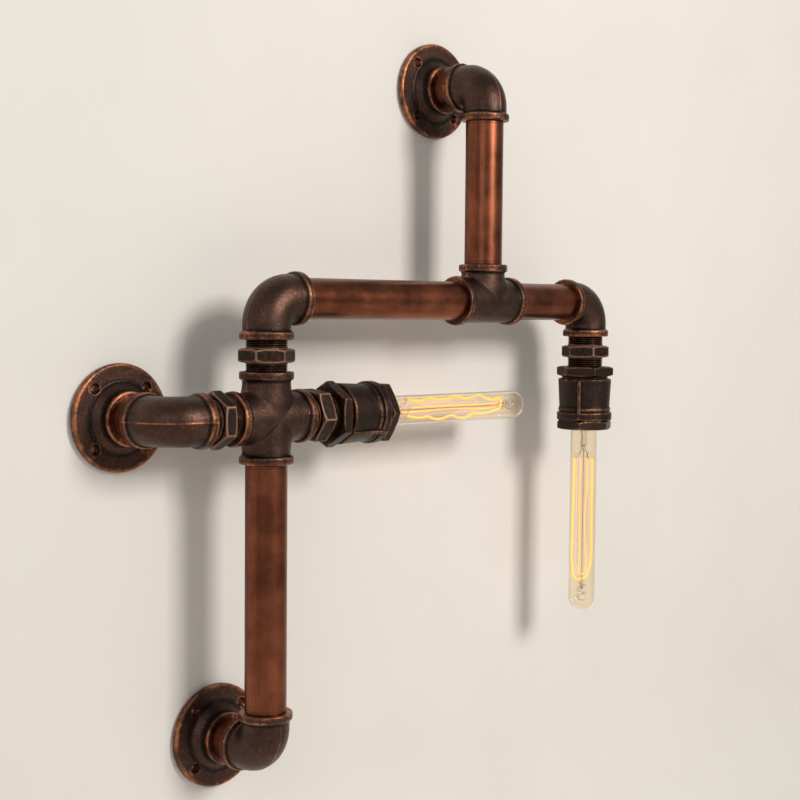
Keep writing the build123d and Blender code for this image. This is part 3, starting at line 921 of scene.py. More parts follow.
# ------------------------------------------------------------------ layout, read from the frame
@dataclass(frozen=True)
class Layout:
    """Where the pipe axes lie, in metres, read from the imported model."""

    left_x: float
    drop_x: float
    tee_x: float
    wall_left_x: float
    axis_y: float
    supply_z: float
    top_z: float
    cross_z: float
    lower_z: float

    @classmethod
    def read(cls) -> "Layout":
        """Reads the axes from the boxes of the nodes that lie on them.

        Returns:
            The layout.
        """
        def middle(node: str) -> Vector:
            """Centre of a node's box."""
            low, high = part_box(node)
            return (low + high) / 2

        return cls(
            left_x=middle("riser_nipple").x, drop_x=middle("drop_nipple").x,
            tee_x=middle("supply_pipe").x, wall_left_x=middle("left_stub").x,
            axis_y=middle("long_pipe").y, supply_z=middle("supply_stub").z,
            top_z=middle("long_pipe").z, cross_z=middle("right_nipple").z,
            lower_z=middle("lower_stub").z,
        )

    def at(self, x: float, z: float) -> Vector:
        """Point on the plane of the pipe axes."""
        return Vector((x, self.axis_y, z))


# ------------------------------------------------------------------ pipe and fittings
@dataclass(frozen=True)
class Screwed:
    """Sizes shared by pipe, fittings and nipples, in millimetres."""

    pipe_radius: float = 21.2
    pipe_wall: float = 3.2
    socket_gap: float = 0.15
    fitting_wall: float = 3.0
    band_width: float = 8.0
    band_proud: float = 3.0
    grip: float = 17.0
    reach: float = 41.0
    tee_run: float = 46.0
    cross_reach: float = 46.0
    throat: float = 1.5
    thread_pitch: float = 2.31
    thread_depth: float = 1.3

    @property
    def bore(self) -> float:
        """Radius of the waterway."""
        return self.pipe_radius - self.pipe_wall

    @property
    def socket(self) -> float:
        """Radius of a fitting's socket."""
        return self.pipe_radius + self.socket_gap

    @property
    def body(self) -> float:
        """Radius of a fitting's body."""
        return self.socket + self.fitting_wall

    @property
    def band(self) -> float:
        """Radius of a fitting's band."""
        return self.body + self.band_proud

    @property
    def bend(self) -> float:
        """Radius of an elbow's centre line."""
        return self.body + self.throat


def cut_thread(piece: bpy.types.Object, low: float, high: float, crest: float, pitch: float,
               depth: float, round_form: bool = False) -> None:
    """Cuts a screw thread into the dense rings of a turned piece.

    Args:
        piece: Piece along Z whose rings lie several to a pitch between low and high.
        low: Start of the thread, in millimetres.
        high: End of the thread.
        crest: Radius of the thread's crest.
        pitch: Rise of one turn.
        depth: Depth of the thread.
        round_form: True for the rounded thread of lamp caps.
    """
    points = Bench.points(piece) / MM
    radius = np.hypot(points[:, 0], points[:, 1])
    angle = np.arctan2(points[:, 1], points[:, 0])
    inside = (np.abs(radius - crest) < 0.02) & (points[:, 2] > low) & (points[:, 2] < high)
    phase = (points[:, 2] / pitch - angle / math.tau) % 1.0
    if round_form:
        groove = 0.5 - 0.5 * np.cos(phase * math.tau)
    else:
        groove = np.clip(1.15 * (1 - np.abs(phase * 2 - 1)), 0, 1)
    ease = np.clip(np.minimum(points[:, 2] - low, high - points[:, 2]) / (pitch * 0.6), 0, 1)
    scale = np.where(inside, 1 - groove * ease * depth / np.maximum(radius, 1e-6), 1.0)
    points[:, 0] *= scale
    points[:, 1] *= scale
    Bench.move_points(piece, points * MM)


def rings(radius: float, low: float, high: float, step: float) -> Outline:
    """Spaces points evenly along one radius.

    Args:
        radius: Radius of all the points.
        low: Height of the first point.
        high: Height of the last point.
        step: Wanted spacing.

    Returns:
        The points, from low to high.
    """
    count = max(2, round((high - low) / step))
    return [(radius, low + (high - low) * number / count) for number in range(count + 1)]


@dataclass
class Pipework:
    """Pipes, stubs, elbows, tee and cross. Its own sizes are in millimetres.

    A crease is where two arms of a casting meet, and the line is the mark that a die leaves on a pipe's end.
    """

    layout: Layout
    sizes: Screwed = field(default_factory=Screwed)
    voxel: float = 0.75
    band_round: float = 1.5
    crease: float = 14.0
    crease_width: float = 6.0
    crease_rounds: int = 24
    line_at: float = 3.4
    line_width: float = 0.5
    seam_proud: float = 0.30
    seam_width: float = 0.8

    def arm(self, name: str, reach: float, start: float = 0.0) -> bpy.types.Object:
        """Turns one banded arm of a fitting along +Z, solid.

        Args:
            name: Name of the solid.
            reach: Station of the arm's mouth, in millimetres.
            start: Station where the arm begins.

        Returns:
            The arm.
        """
        size = self.sizes
        band = reach - size.band_width
        return Bench.turned(name, rounded([
            (0, start), (size.body, start), (size.body, band - 0.8, 1.6),
            (size.band, band + 0.6, self.band_round), (size.band, reach, self.band_round), (0, reach),
        ]))

    def bore_out(self, body: bpy.types.Object, arms: list[tuple[Matrix, float]]) -> None:
        """Cuts the sockets and the waterway of a straight fitting, arm by arm.

        Args:
            body: Casting that is cut.
            arms: Turn that takes +Z to the arm's way, and the arm's reach.
        """
        size = self.sizes
        for turn, reach in arms:
            cutter = Bench.turned("cutter", [
                (0, 0), (size.bore, 0), (size.bore, reach - size.grip), (size.socket, reach - size.grip),
                (size.socket, reach + 1), (0, reach + 1),
            ], 72)
            cutter.data.transform(turn)
            Bench.join(body, cutter, "DIFFERENCE")

    def fillet(self, body: bpy.types.Object, down: bool) -> None:
        """Rounds the creases where level and upright arms meet, most where they meet squarely.

        Args:
            body: Casting with its arms in the XZ plane.
            down: True where an arm points down as well.
        """
        points = Bench.points(body) / MM
        normals = self.normals(body)
        level = np.hypot(points[:, 1], points[:, 2])
        upright = np.hypot(points[:, 0], points[:, 1])
        meet = 1 - points[:, 1] ** 2 / np.maximum(level * upright, 1e-6)
        if not down:
            upright = np.maximum(upright, self.sizes.body - points[:, 2])
        depth = np.clip(self.crease - np.abs(level - upright), 0, None) ** 2 / (4 * self.crease)
        inside = np.minimum(level, upright) < self.sizes.body + 0.5
        Bench.move_points(body, (points + normals * (depth * meet * inside)[:, None]) * MM)
        weights = np.clip(1.2 - np.abs(level - upright) / self.crease_width, 0, 1) * inside
        creases = body.vertex_groups.new(name="creases")
        for number in np.flatnonzero(weights > 0):
            creases.add([int(number)], float(weights[number]), "REPLACE")
        Bench.pick(body)
        smooth = body.modifiers.new("rounded_creases", "SMOOTH")
        smooth.factor = 0.5
        smooth.iterations = self.crease_rounds
        smooth.vertex_group = creases.name
        bpy.ops.object.modifier_apply(modifier=smooth.name)

    @staticmethod
    def normals(body: bpy.types.Object) -> np.ndarray:
        """Reads which way a piece faces at its points.

        Args:
            body: Piece to read.

        Returns:
            One unit row for each point.
        """
        flat = np.empty(len(body.data.vertices) * 3)
        body.data.vertex_normals.foreach_get("vector", flat)
        return flat.reshape(-1, 3)

    def seam(self, body: bpy.types.Object) -> None:
        """Raises the parting line of the mould, in the plane of the arms (local Y = 0).

        Args:
            body: Casting that is changed.
        """
        points, normals = Bench.points(body), self.normals(body)
        share = np.exp(-(points[:, 1] / (self.seam_width * MM)) ** 2)
        share *= np.abs(normals[:, 1]) < 0.5
        Bench.move_points(body, points + normals * (share * self.seam_proud * MM)[:, None])

    def elbow(self) -> bpy.types.Object:
        """Casts an elbow with arms along +X and +Z.

        Returns:
            The bored casting.
        """
        size = self.sizes
        arms = [self.arm(name, size.reach, size.bend - 1) for name in ("arm_up", "arm_side")]
        arms[1].data.transform(Matrix.Rotation(math.pi / 2, 4, "Y"))
        body = Bench.merge_loose("elbow", [Bench.quarter_bend("bend", size.body, size.bend), *arms])
        Bench.cast(body, self.voxel)
        self.seam(body)
        cutters = []
        for turn in (Matrix.Identity(4), Matrix.Rotation(math.pi / 2, 4, "Y")):
            cutter = Bench.turned("cutter", [
                (0, size.bend - 0.2), (size.bore, size.bend - 0.2), (size.bore, size.reach - size.grip + 2),
                (size.socket, size.reach - size.grip + 2), (size.socket, size.reach + 1), (0, size.reach + 1),
            ], 72)
            cutter.data.transform(turn)
            cutters.append(cutter)
        for cutter in cutters:
            Bench.join(body, cutter, "DIFFERENCE")
        Bench.join(body, Bench.quarter_bend("waterway", size.bore, size.bend, 72), "DIFFERENCE")
        return body

    def straight(self, name: str, arms: list[tuple[Matrix, float]]) -> bpy.types.Object:
        """Casts a tee or a cross with its arms in the XZ plane.

        Args:
            name: Name of the casting.
            arms: Turn that takes +Z to the arm's way, and the arm's reach in millimetres.

        Returns:
            The bored casting.
        """
        solids = []
        for turn, reach in arms:
            solids.append(self.arm("arm", reach))
            solids[-1].data.transform(turn)
        body = Bench.merge_loose(name, solids)
        Bench.cast(body, self.voxel)
        self.fillet(body, name.startswith("cross"))
        self.seam(body)
        self.bore_out(body, arms)
        return body

    def pipe(self, node: str, forward: Way, finish: str) -> None:
        """Makes one plain pipe, placed by its node's box.

        Args:
            node: CAD node of the pipe.
            forward: Way that it runs.
            finish: Name of its finish, whose streaks run the same way.
        """
        size = self.sizes
        low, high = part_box(node)
        middle = (low + high) / 2
        axis = max(range(3), key=lambda number: abs(forward.value[number]))
        length = (high - low)[axis] / MM
        shown = size.grip + 5
        outline = [
            (size.bore, 0), (size.pipe_radius, 0), *rings(size.pipe_radius, size.grip, shown, 0.4),
            *rings(size.pipe_radius, shown + 4, length - shown - 4, 4.0),
            *rings(size.pipe_radius, length - shown, length - size.grip, 0.4), (size.pipe_radius, length),
            (size.bore, length),
        ]
        piece = Bench.turned(node + "_tube", outline, 128)
        points = Bench.points(piece) / MM
        edge = np.minimum(points[:, 2], length - points[:, 2]) - size.grip
        line = np.exp(-((edge - self.line_at) / self.line_width) ** 2)
        store(piece, "relief", -np.maximum(np.exp(-np.clip(edge, 0, None) / 1.4), line * 0.7))
        origin = middle - Vector(forward.value) * length / 2 * MM
        settle(piece, origin, forward, Way.FRONT if forward is Way.UP else Way.UP)
        hand_over(piece, node, finish)

    def build(self) -> None:
        """Makes every pipe, stub and fitting."""
        here, size = self.layout, self.sizes
        self.pipe("supply_pipe", Way.UP, "bronzed_steel_upright")
        self.pipe("lower_pipe", Way.UP, "bronzed_steel_upright")
        self.pipe("long_pipe", Way.RIGHT, "bronzed_steel_level")
        self.pipe("short_pipe", Way.RIGHT, "bronzed_steel_level")
        for name in ("supply", "left", "lower"):
            self.pipe(f"{name}_stub", Way.WALL, "bronzed_steel_to_wall")
        right, left = Matrix.Rotation(math.pi / 2, 4, "Y"), Matrix.Rotation(-math.pi / 2, 4, "Y")
        up, down = Matrix.Identity(4), Matrix.Rotation(math.pi, 4, "X")
        tee_arms = [(right, size.tee_run), (left, size.tee_run), (up, size.reach)]
        cross_arms = [(way, size.cross_reach) for way in (right, left, up, down)]
        for node, arms, origin in (
            ("tee", tee_arms, here.at(here.tee_x, here.top_z)),
            ("cross", cross_arms, here.at(here.left_x, here.cross_z)),
        ):
            piece = self.straight(node + "_casting", arms)
            read_relief(piece)
            settle(piece, origin, Way.UP, Way.RIGHT)
            keep_inside(piece, node)
            hand_over(piece, node, "cast_bronzed_iron", 60)
        pattern = self.elbow()
        read_relief(pattern)
        for node, origin, first, second in (
            ("supply_elbow", here.at(here.tee_x, here.supply_z), Way.WALL, Way.DOWN),
            ("top_left_elbow", here.at(here.left_x, here.top_z), Way.RIGHT, Way.DOWN),
            ("top_right_elbow", here.at(here.drop_x, here.top_z), Way.LEFT, Way.DOWN),
            ("left_wall_elbow", here.at(here.wall_left_x, here.cross_z), Way.WALL, Way.RIGHT),
            ("lower_wall_elbow", here.at(here.left_x, here.lower_z), Way.WALL, Way.UP),
        ):
            piece = Bench.copy(pattern, node + "_casting")
            settle(piece, origin, second, first)
            keep_inside(piece, node)
            hand_over(piece, node, "cast_bronzed_iron", 60)
        bpy.data.objects.remove(pattern)


@dataclass
class Nipples:
    """Hexagon nipples with their threads in view, in millimetres."""

    sizes: Screwed = field(default_factory=Screwed)
    flats: float = 50.0
    hex_length: float = 14.0
    right_hex: float = 17.0
    corner: float = 1.4
    hidden_thread: float = 3.0
    voxel: float = 0.6

    def nipple(self, name: str, length: float, hex_length: float, turn: float) -> bpy.types.Object:
        """One nipple along +Z, centred on its hexagon.

        Args:
            name: Name of the piece.
            length: Length over all, in millimetres.
            hex_length: Length of the hexagon.
            turn: Angle of a corner of the hexagon from the front, in degrees.

        Returns:
            The nipple.
        """
        size = self.sizes
        end, half_hex = length / 2, hex_length / 2
        shown = end - size.grip + self.hidden_thread
        step = size.thread_pitch / 10
        outline = [
            (size.bore, -end), (size.pipe_radius - size.thread_depth, -end), (size.pipe_radius, -end + 2),
            *rings(size.pipe_radius, -shown, -half_hex + 1, step),
            *rings(size.pipe_radius, half_hex - 1, shown, step),
            (size.pipe_radius, end - 2), (size.pipe_radius - size.thread_depth, end), (size.bore, end),
        ]
        body = Bench.turned(name, outline)
        for low, high in ((-shown, -half_hex - 0.6), (half_hex + 0.6, shown)):
            cut_thread(body, low, high, size.pipe_radius, size.thread_pitch, size.thread_depth)
        points = Bench.points(body) / MM
        crest = (np.hypot(points[:, 0], points[:, 1]) - size.pipe_radius) / size.thread_depth + 0.5
        store(body, "relief", np.clip(crest, -1, 0.8))
        head = Bench.hexagon("hexagon", self.flats, -half_hex, half_hex, self.corner, turn)
        Bench.cast(head, self.voxel, 2, 0.08)
        Bench.join(head, Bench.turned("bore", [
            (0, -end), (size.bore + 1, -end), (size.bore + 1, end), (0, end),
        ]), "DIFFERENCE")
        read_relief(head)
        return Bench.merge_loose(name, [body, head])

    def build(self) -> None:
        """Makes the four nipples."""
        for node, forward, hex_length, turn in (
            ("riser_nipple", Way.DOWN, self.hex_length, 0.0),
            ("drop_nipple", Way.DOWN, self.hex_length, 30.0),
            ("left_nipple", Way.LEFT, self.hex_length, 30.0),
            ("right_nipple", Way.RIGHT, self.right_hex, 7.0),
        ):
            low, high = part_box(node)
            axis = max(range(3), key=lambda number: abs(forward.value[number]))
            piece = self.nipple(node + "_hex", (high - low)[axis] / MM, hex_length, turn)
            settle(piece, (low + high) / 2, forward, Way.FRONT)
            keep_inside(piece, node)
            hand_over(piece, node, "blackened_machined_iron", 35)


@dataclass
class WallFlanges:
    """Round floor flanges that carry the stubs, in millimetres."""

    layout: Layout
    sizes: Screwed = field(default_factory=Screwed)
    radius: float = 54.0
    plate: float = 7.0
    hub_height: float = 24.0
    grip: float = 16.0
    hole_circle: float = 42.0
    hole_radius: float = 3.25
    sink_radius: float = 5.6
    sink_depth: float = 2.4
    holes: int = 4

    def flange(self) -> bpy.types.Object:
        """Casts one flange with its back on Z = 0 and its hub along +Z.

        Returns:
            The bored and drilled casting.
        """
        size = self.sizes
        rise = self.hub_height - self.plate
        body = Bench.turned("flange", rounded([
            (0, 0), (self.radius, 0, 0.8), (self.radius, self.plate, 1.8),
            (size.band + rise / 2, self.plate, 5), (size.band, self.plate + rise / 2, 6),
            (size.band, self.hub_height, 1.8), (0, self.hub_height),
        ]))
        Bench.cast(body, 0.9, 3, 0.14)
        cutter = Bench.turned("bore", [
            (0, -1), (size.bore, -1), (size.bore, self.hub_height - self.grip),
            (size.socket, self.hub_height - self.grip), (size.socket, self.hub_height + 1),
            (0, self.hub_height + 1),
        ], 72)
        Bench.join(body, cutter, "DIFFERENCE")
        for number in range(self.holes):
            drill = Bench.turned("drill", [
                (0, -1), (self.hole_radius, -1), (self.hole_radius, self.plate - self.sink_depth),
                (self.sink_radius, self.plate), (self.sink_radius, self.plate + 1), (0, self.plate + 1),
            ], 40)
            angle = math.tau * (number + 0.5) / self.holes
            place = Vector((math.cos(angle), math.sin(angle), 0)) * self.hole_circle * MM
            drill.data.transform(Matrix.Translation(place))
            Bench.join(body, drill, "DIFFERENCE")
        return body

    def build(self) -> None:
        """Makes the three flanges."""
        here = self.layout
        pattern = self.flange()
        read_relief(pattern)
        for name, x, z in (("supply", here.tee_x, here.supply_z), ("left", here.wall_left_x, here.cross_z),
                           ("lower", here.left_x, here.lower_z)):
            node = f"{name}_flange"
            piece = Bench.copy(pattern, node + "_casting")
            settle(piece, Vector((x, 0, z)), Way.FRONT, Way.UP)
            keep_inside(piece, node)
            hand_over(piece, node, "cast_bronzed_iron", 50)
        bpy.data.objects.remove(pattern)


# ------------------------------------------------------------------ lamp cup and lampholder
@dataclass
class LampCup:
    """One lamp cup with its porcelain lampholder, along +Z from the cup's rear face.

    Sizes and stations are in millimetres, and only the origin is in metres. The rib's angle is in degrees
    from the cup's front.
    """

    name: str
    origin: Vector
    forward: Way
    rib_angle: float
    sizes: Screwed = field(default_factory=Screwed)
    flats: float = 60.0
    rear_hex: float = 11.5
    neck: float = 3.0
    neck_cut: float = 2.5
    barrel: float = 39.0
    rear_radius: float = 32.0
    front_radius: float = 30.75
    groove: float = 1.5
    rim: float = 10.0
    rim_radius: float = 33.0
    front_hex: float = 11.0
    screw: float = 9.5
    barrel_wall: float = 3.6
    ledge: float = 4.0
    mouth: float = 24.0
    rib_width: float = 4.0
    rib_proud: float = 0.8
    holder_radius: float = 22.0
    holder_flange: float = 5.0
    holder_lip: float = 3.0
    lip_radius: float = 22.7
    floor: float = 9.0
    cap_radius: float = 13.05
    cap_length: float = 25.5
    cap_gap: float = 0.4
    thread_gap: float = 0.15
    holder_gap: float = 0.25
    shell_wall: float = 0.6
    shell_gap: float = 0.3
    shell_hole: float = 7.5
    contact: float = 2.2
    voxel: float = 0.6
    lamp_pitch: float = 3.63
    inside_glass: ClassVar[tuple[str, ...]] = ("bulb_filament", "bulb_support", "bulb_lead_ins")

    def __post_init__(self) -> None:
        """Works out the stations along the cup's axis."""
        self.barrel_at = self.rear_hex + self.neck
        self.groove_at = self.barrel_at + self.barrel
        self.rim_at = self.groove_at + self.groove
        self.ring_at = self.rim_at + self.rim
        self.mouth_at = self.ring_at + self.front_hex
        self.bushing_end = self.barrel_at + self.screw
        self.holder_at = self.bushing_end + 1.0
        self.shell_at = self.holder_at + self.floor
        self.bulb_at = self.shell_at + self.contact + self.cap_gap
        self.cap_end = self.bulb_at + self.cap_length
        self.holder_front = self.cap_end - 1.0
        self.flange_front = self.holder_front - self.holder_lip
        self.flange_back = self.flange_front - self.holder_flange
        self.seat = self.front_radius - self.barrel_wall

    def finish(self, piece: bpy.types.Object, part: str, finish: str, smooth: float = 40.0) -> None:
        """Puts a piece of the cup in place and hands it over.

        Args:
            piece: Piece modelled along the cup's axis.
            part: What follows the cup's name in the CAD node.
            finish: Name of its finish.
            smooth: Angle in degrees under which edges shade smooth.
        """
        node = f"{self.name}_{part}"
        settle(piece, self.origin, self.forward, Way.FRONT)
        keep_inside(piece, f"{self.name}_bulb_glass" if part in self.inside_glass else node)
        hand_over(piece, node, finish, smooth)

    def bushing(self) -> None:
        """Rear bushing with its hexagon."""
        size = self.sizes
        neck_radius, screw_radius = self.flats / 2 - self.neck_cut, self.seat - self.thread_gap
        body = Bench.hexagon("hexagon", self.flats, 0, self.rear_hex, 1.6, turn=30)
        shank = Bench.turned("shank", [
            (0, 1), (neck_radius, 1), (neck_radius, self.barrel_at), (screw_radius, self.barrel_at),
            (screw_radius, self.bushing_end), (0, self.bushing_end),
        ])
        Bench.join(body, shank)
        Bench.cast(body, self.voxel, 3, 0.1)
        Bench.join(body, Bench.turned("bore", [
            (0, -1), (size.socket, -1), (size.socket, size.grip), (size.bore, size.grip),
            (size.bore, self.bushing_end + 1), (0, self.bushing_end + 1),
        ], 72), "DIFFERENCE")
        piece = Bench.merge_loose(f"{self.name}_cup_bushing_casting", [body])
        read_relief(piece)
        self.finish(piece, "cup_bushing", "cast_bronzed_cup", 55)

    def barrel_casting(self) -> None:
        """Ribbed barrel with its rim and the ledge for the lampholder."""
        groove_radius, swell_radius = self.front_radius - self.groove / 2, self.front_radius + 0.7
        ledge_radius = self.holder_radius + self.holder_gap
        ledge_at = self.flange_back - self.ledge
        body = Bench.turned("barrel", rounded([
            (0, self.barrel_at), (self.rear_radius, self.barrel_at, 2.0),
            (self.front_radius - 0.5, self.groove_at - 5, 3), (swell_radius, self.groove_at - 2.6, 1.2),
            (swell_radius, self.groove_at, 1.0), (groove_radius, self.groove_at),
            (groove_radius, self.rim_at), (self.rim_radius, self.rim_at, 1.8),
            (self.rim_radius, self.ring_at, 1.8), (0, self.ring_at),
        ]))
        Bench.clear()
        top = self.rim_radius + self.rib_proud
        length = self.ring_at - self.barrel_at - 3.2
        bpy.ops.mesh.primitive_cube_add(size=1, location=(
            top / 2 * MM, 0, (self.barrel_at + self.ring_at) / 2 * MM))
        rib = Bench.named("rib")
        rib.scale = (top * MM, self.rib_width * MM, length * MM)
        bpy.ops.object.transform_apply(location=True, scale=True)
        Bench.soften(rib, 1.0, 3)
        rib.data.transform(Matrix.Rotation(math.radians(self.rib_angle), 4, "Z"))
        body = Bench.merge_loose(f"{self.name}_cup_barrel_casting", [body, rib])
        Bench.cast(body, self.voxel, 3, 0.12)
        Bench.join(body, Bench.turned("inside", [
            (0, self.barrel_at - 1), (self.seat, self.barrel_at - 1), (self.seat, ledge_at - self.ledge / 2),
            (ledge_radius, ledge_at), (ledge_radius, self.flange_back), (self.seat, self.flange_back),
            (self.seat, self.ring_at + 1), (0, self.ring_at + 1),
        ], 72), "DIFFERENCE")
        read_relief(body)
        self.finish(body, "cup_barrel", "cast_bronzed_cup", 55)

    def ring(self) -> None:
        """Front hexagon ring that clamps the lampholder."""
        screw_radius = self.seat - self.thread_gap
        body = Bench.hexagon("hexagon", self.flats, self.ring_at, self.mouth_at, 1.8, turn=0)
        Bench.join(body, Bench.turned("spigot", [
            (0, self.flange_front), (screw_radius, self.flange_front), (screw_radius, self.ring_at + 1),
            (0, self.ring_at + 1),
        ]))
        Bench.cast(body, self.voxel, 3, 0.1)
        Bench.join(body, Bench.turned("mouth", rounded([
            (0, self.flange_front - 1), (self.mouth, self.flange_front - 1),
            (self.mouth, self.mouth_at - 0.8), (self.mouth + 1.8, self.mouth_at + 1), (0, self.mouth_at + 1),
        ]), 72), "DIFFERENCE")
        piece = Bench.merge_loose(f"{self.name}_cup_ring_casting", [body])
        read_relief(piece)
        self.finish(piece, "cup_ring", "cast_bronzed_cup", 55)

    def holder(self) -> None:
        """Porcelain body and screw shell of the lampholder."""
        shell_outer = self.cap_radius + self.cap_gap + self.shell_wall
        flange, hollow = self.seat - self.holder_gap, shell_outer + self.shell_gap
        body = Bench.turned(f"{self.name}_porcelain", rounded([
            (0, self.holder_at), (self.holder_radius, self.holder_at, 1.4),
            (self.holder_radius, self.flange_back), (flange, self.flange_back, 0.5),
            (flange, self.flange_front, 0.5), (self.lip_radius, self.flange_front),
            (self.lip_radius, self.holder_front, 1.2), (hollow, self.holder_front, 1.0),
            (hollow, self.shell_at), (0, self.shell_at),
        ]))
        self.finish(body, "holder_porcelain", "glazed_porcelain")
        inner = shell_outer - self.shell_wall
        top = self.holder_front - 1
        shell = Bench.turned(f"{self.name}_screw_shell", [
            (self.shell_hole, self.shell_at), (shell_outer, self.shell_at),
            *rings(shell_outer, self.shell_at + 1, top, 0.5),
            *reversed(rings(inner, self.shell_at + 1, top, 0.5)),
            (inner, self.shell_at + self.shell_wall), (self.shell_hole, self.shell_at + self.shell_wall),
        ], 72)
        for crest in (shell_outer, inner):
            cut_thread(shell, self.shell_at + 2, top - 1, crest, self.lamp_pitch, 0.35, True)
        self.finish(shell, "holder_shell", "stamped_brass")

    def build(self) -> None:
        """Makes the cup and its lampholder."""
        self.bushing()
        self.barrel_casting()
        self.ring()
        self.holder()


# ------------------------------------------------------------------ bulb
class Hang(Enum):
    """How the outer hairpin hangs: (share of its length, distance from the axis in mm) of both legs."""

    TAUT = (
        ((0, 11.2), (0.3, 11.2), (0.6, 12.2), (0.85, 12.0), (0.95, 10.6), (1.0, 8.6)),
        ((0, 10.8), (0.3, 11.2), (0.6, 11.4), (0.85, 11.2), (0.94, 8.2), (1.0, 4.2)),
    )
    WAVY = (
        ((0, 12.0), (0.07, 10.2), (0.14, 9.4), (0.23, 11.8), (0.32, 10.0), (0.41, 10.3), (0.52, 12.2),
         (0.6, 9.9), (0.68, 10.3), (0.77, 12.2), (0.85, 8.4), (0.93, 6.4), (1.0, 7.4)),
        ((0, 6.6), (0.07, 8.2), (0.15, 9.2), (0.21, 8.3), (0.28, 11.2), (0.36, 11.8), (0.46, 8.6),
         (0.54, 11.5), (0.61, 12.0), (0.7, 8.2), (0.8, 8.4), (0.88, 7.4), (0.96, 5.2), (1.0, 3.2)),
    )


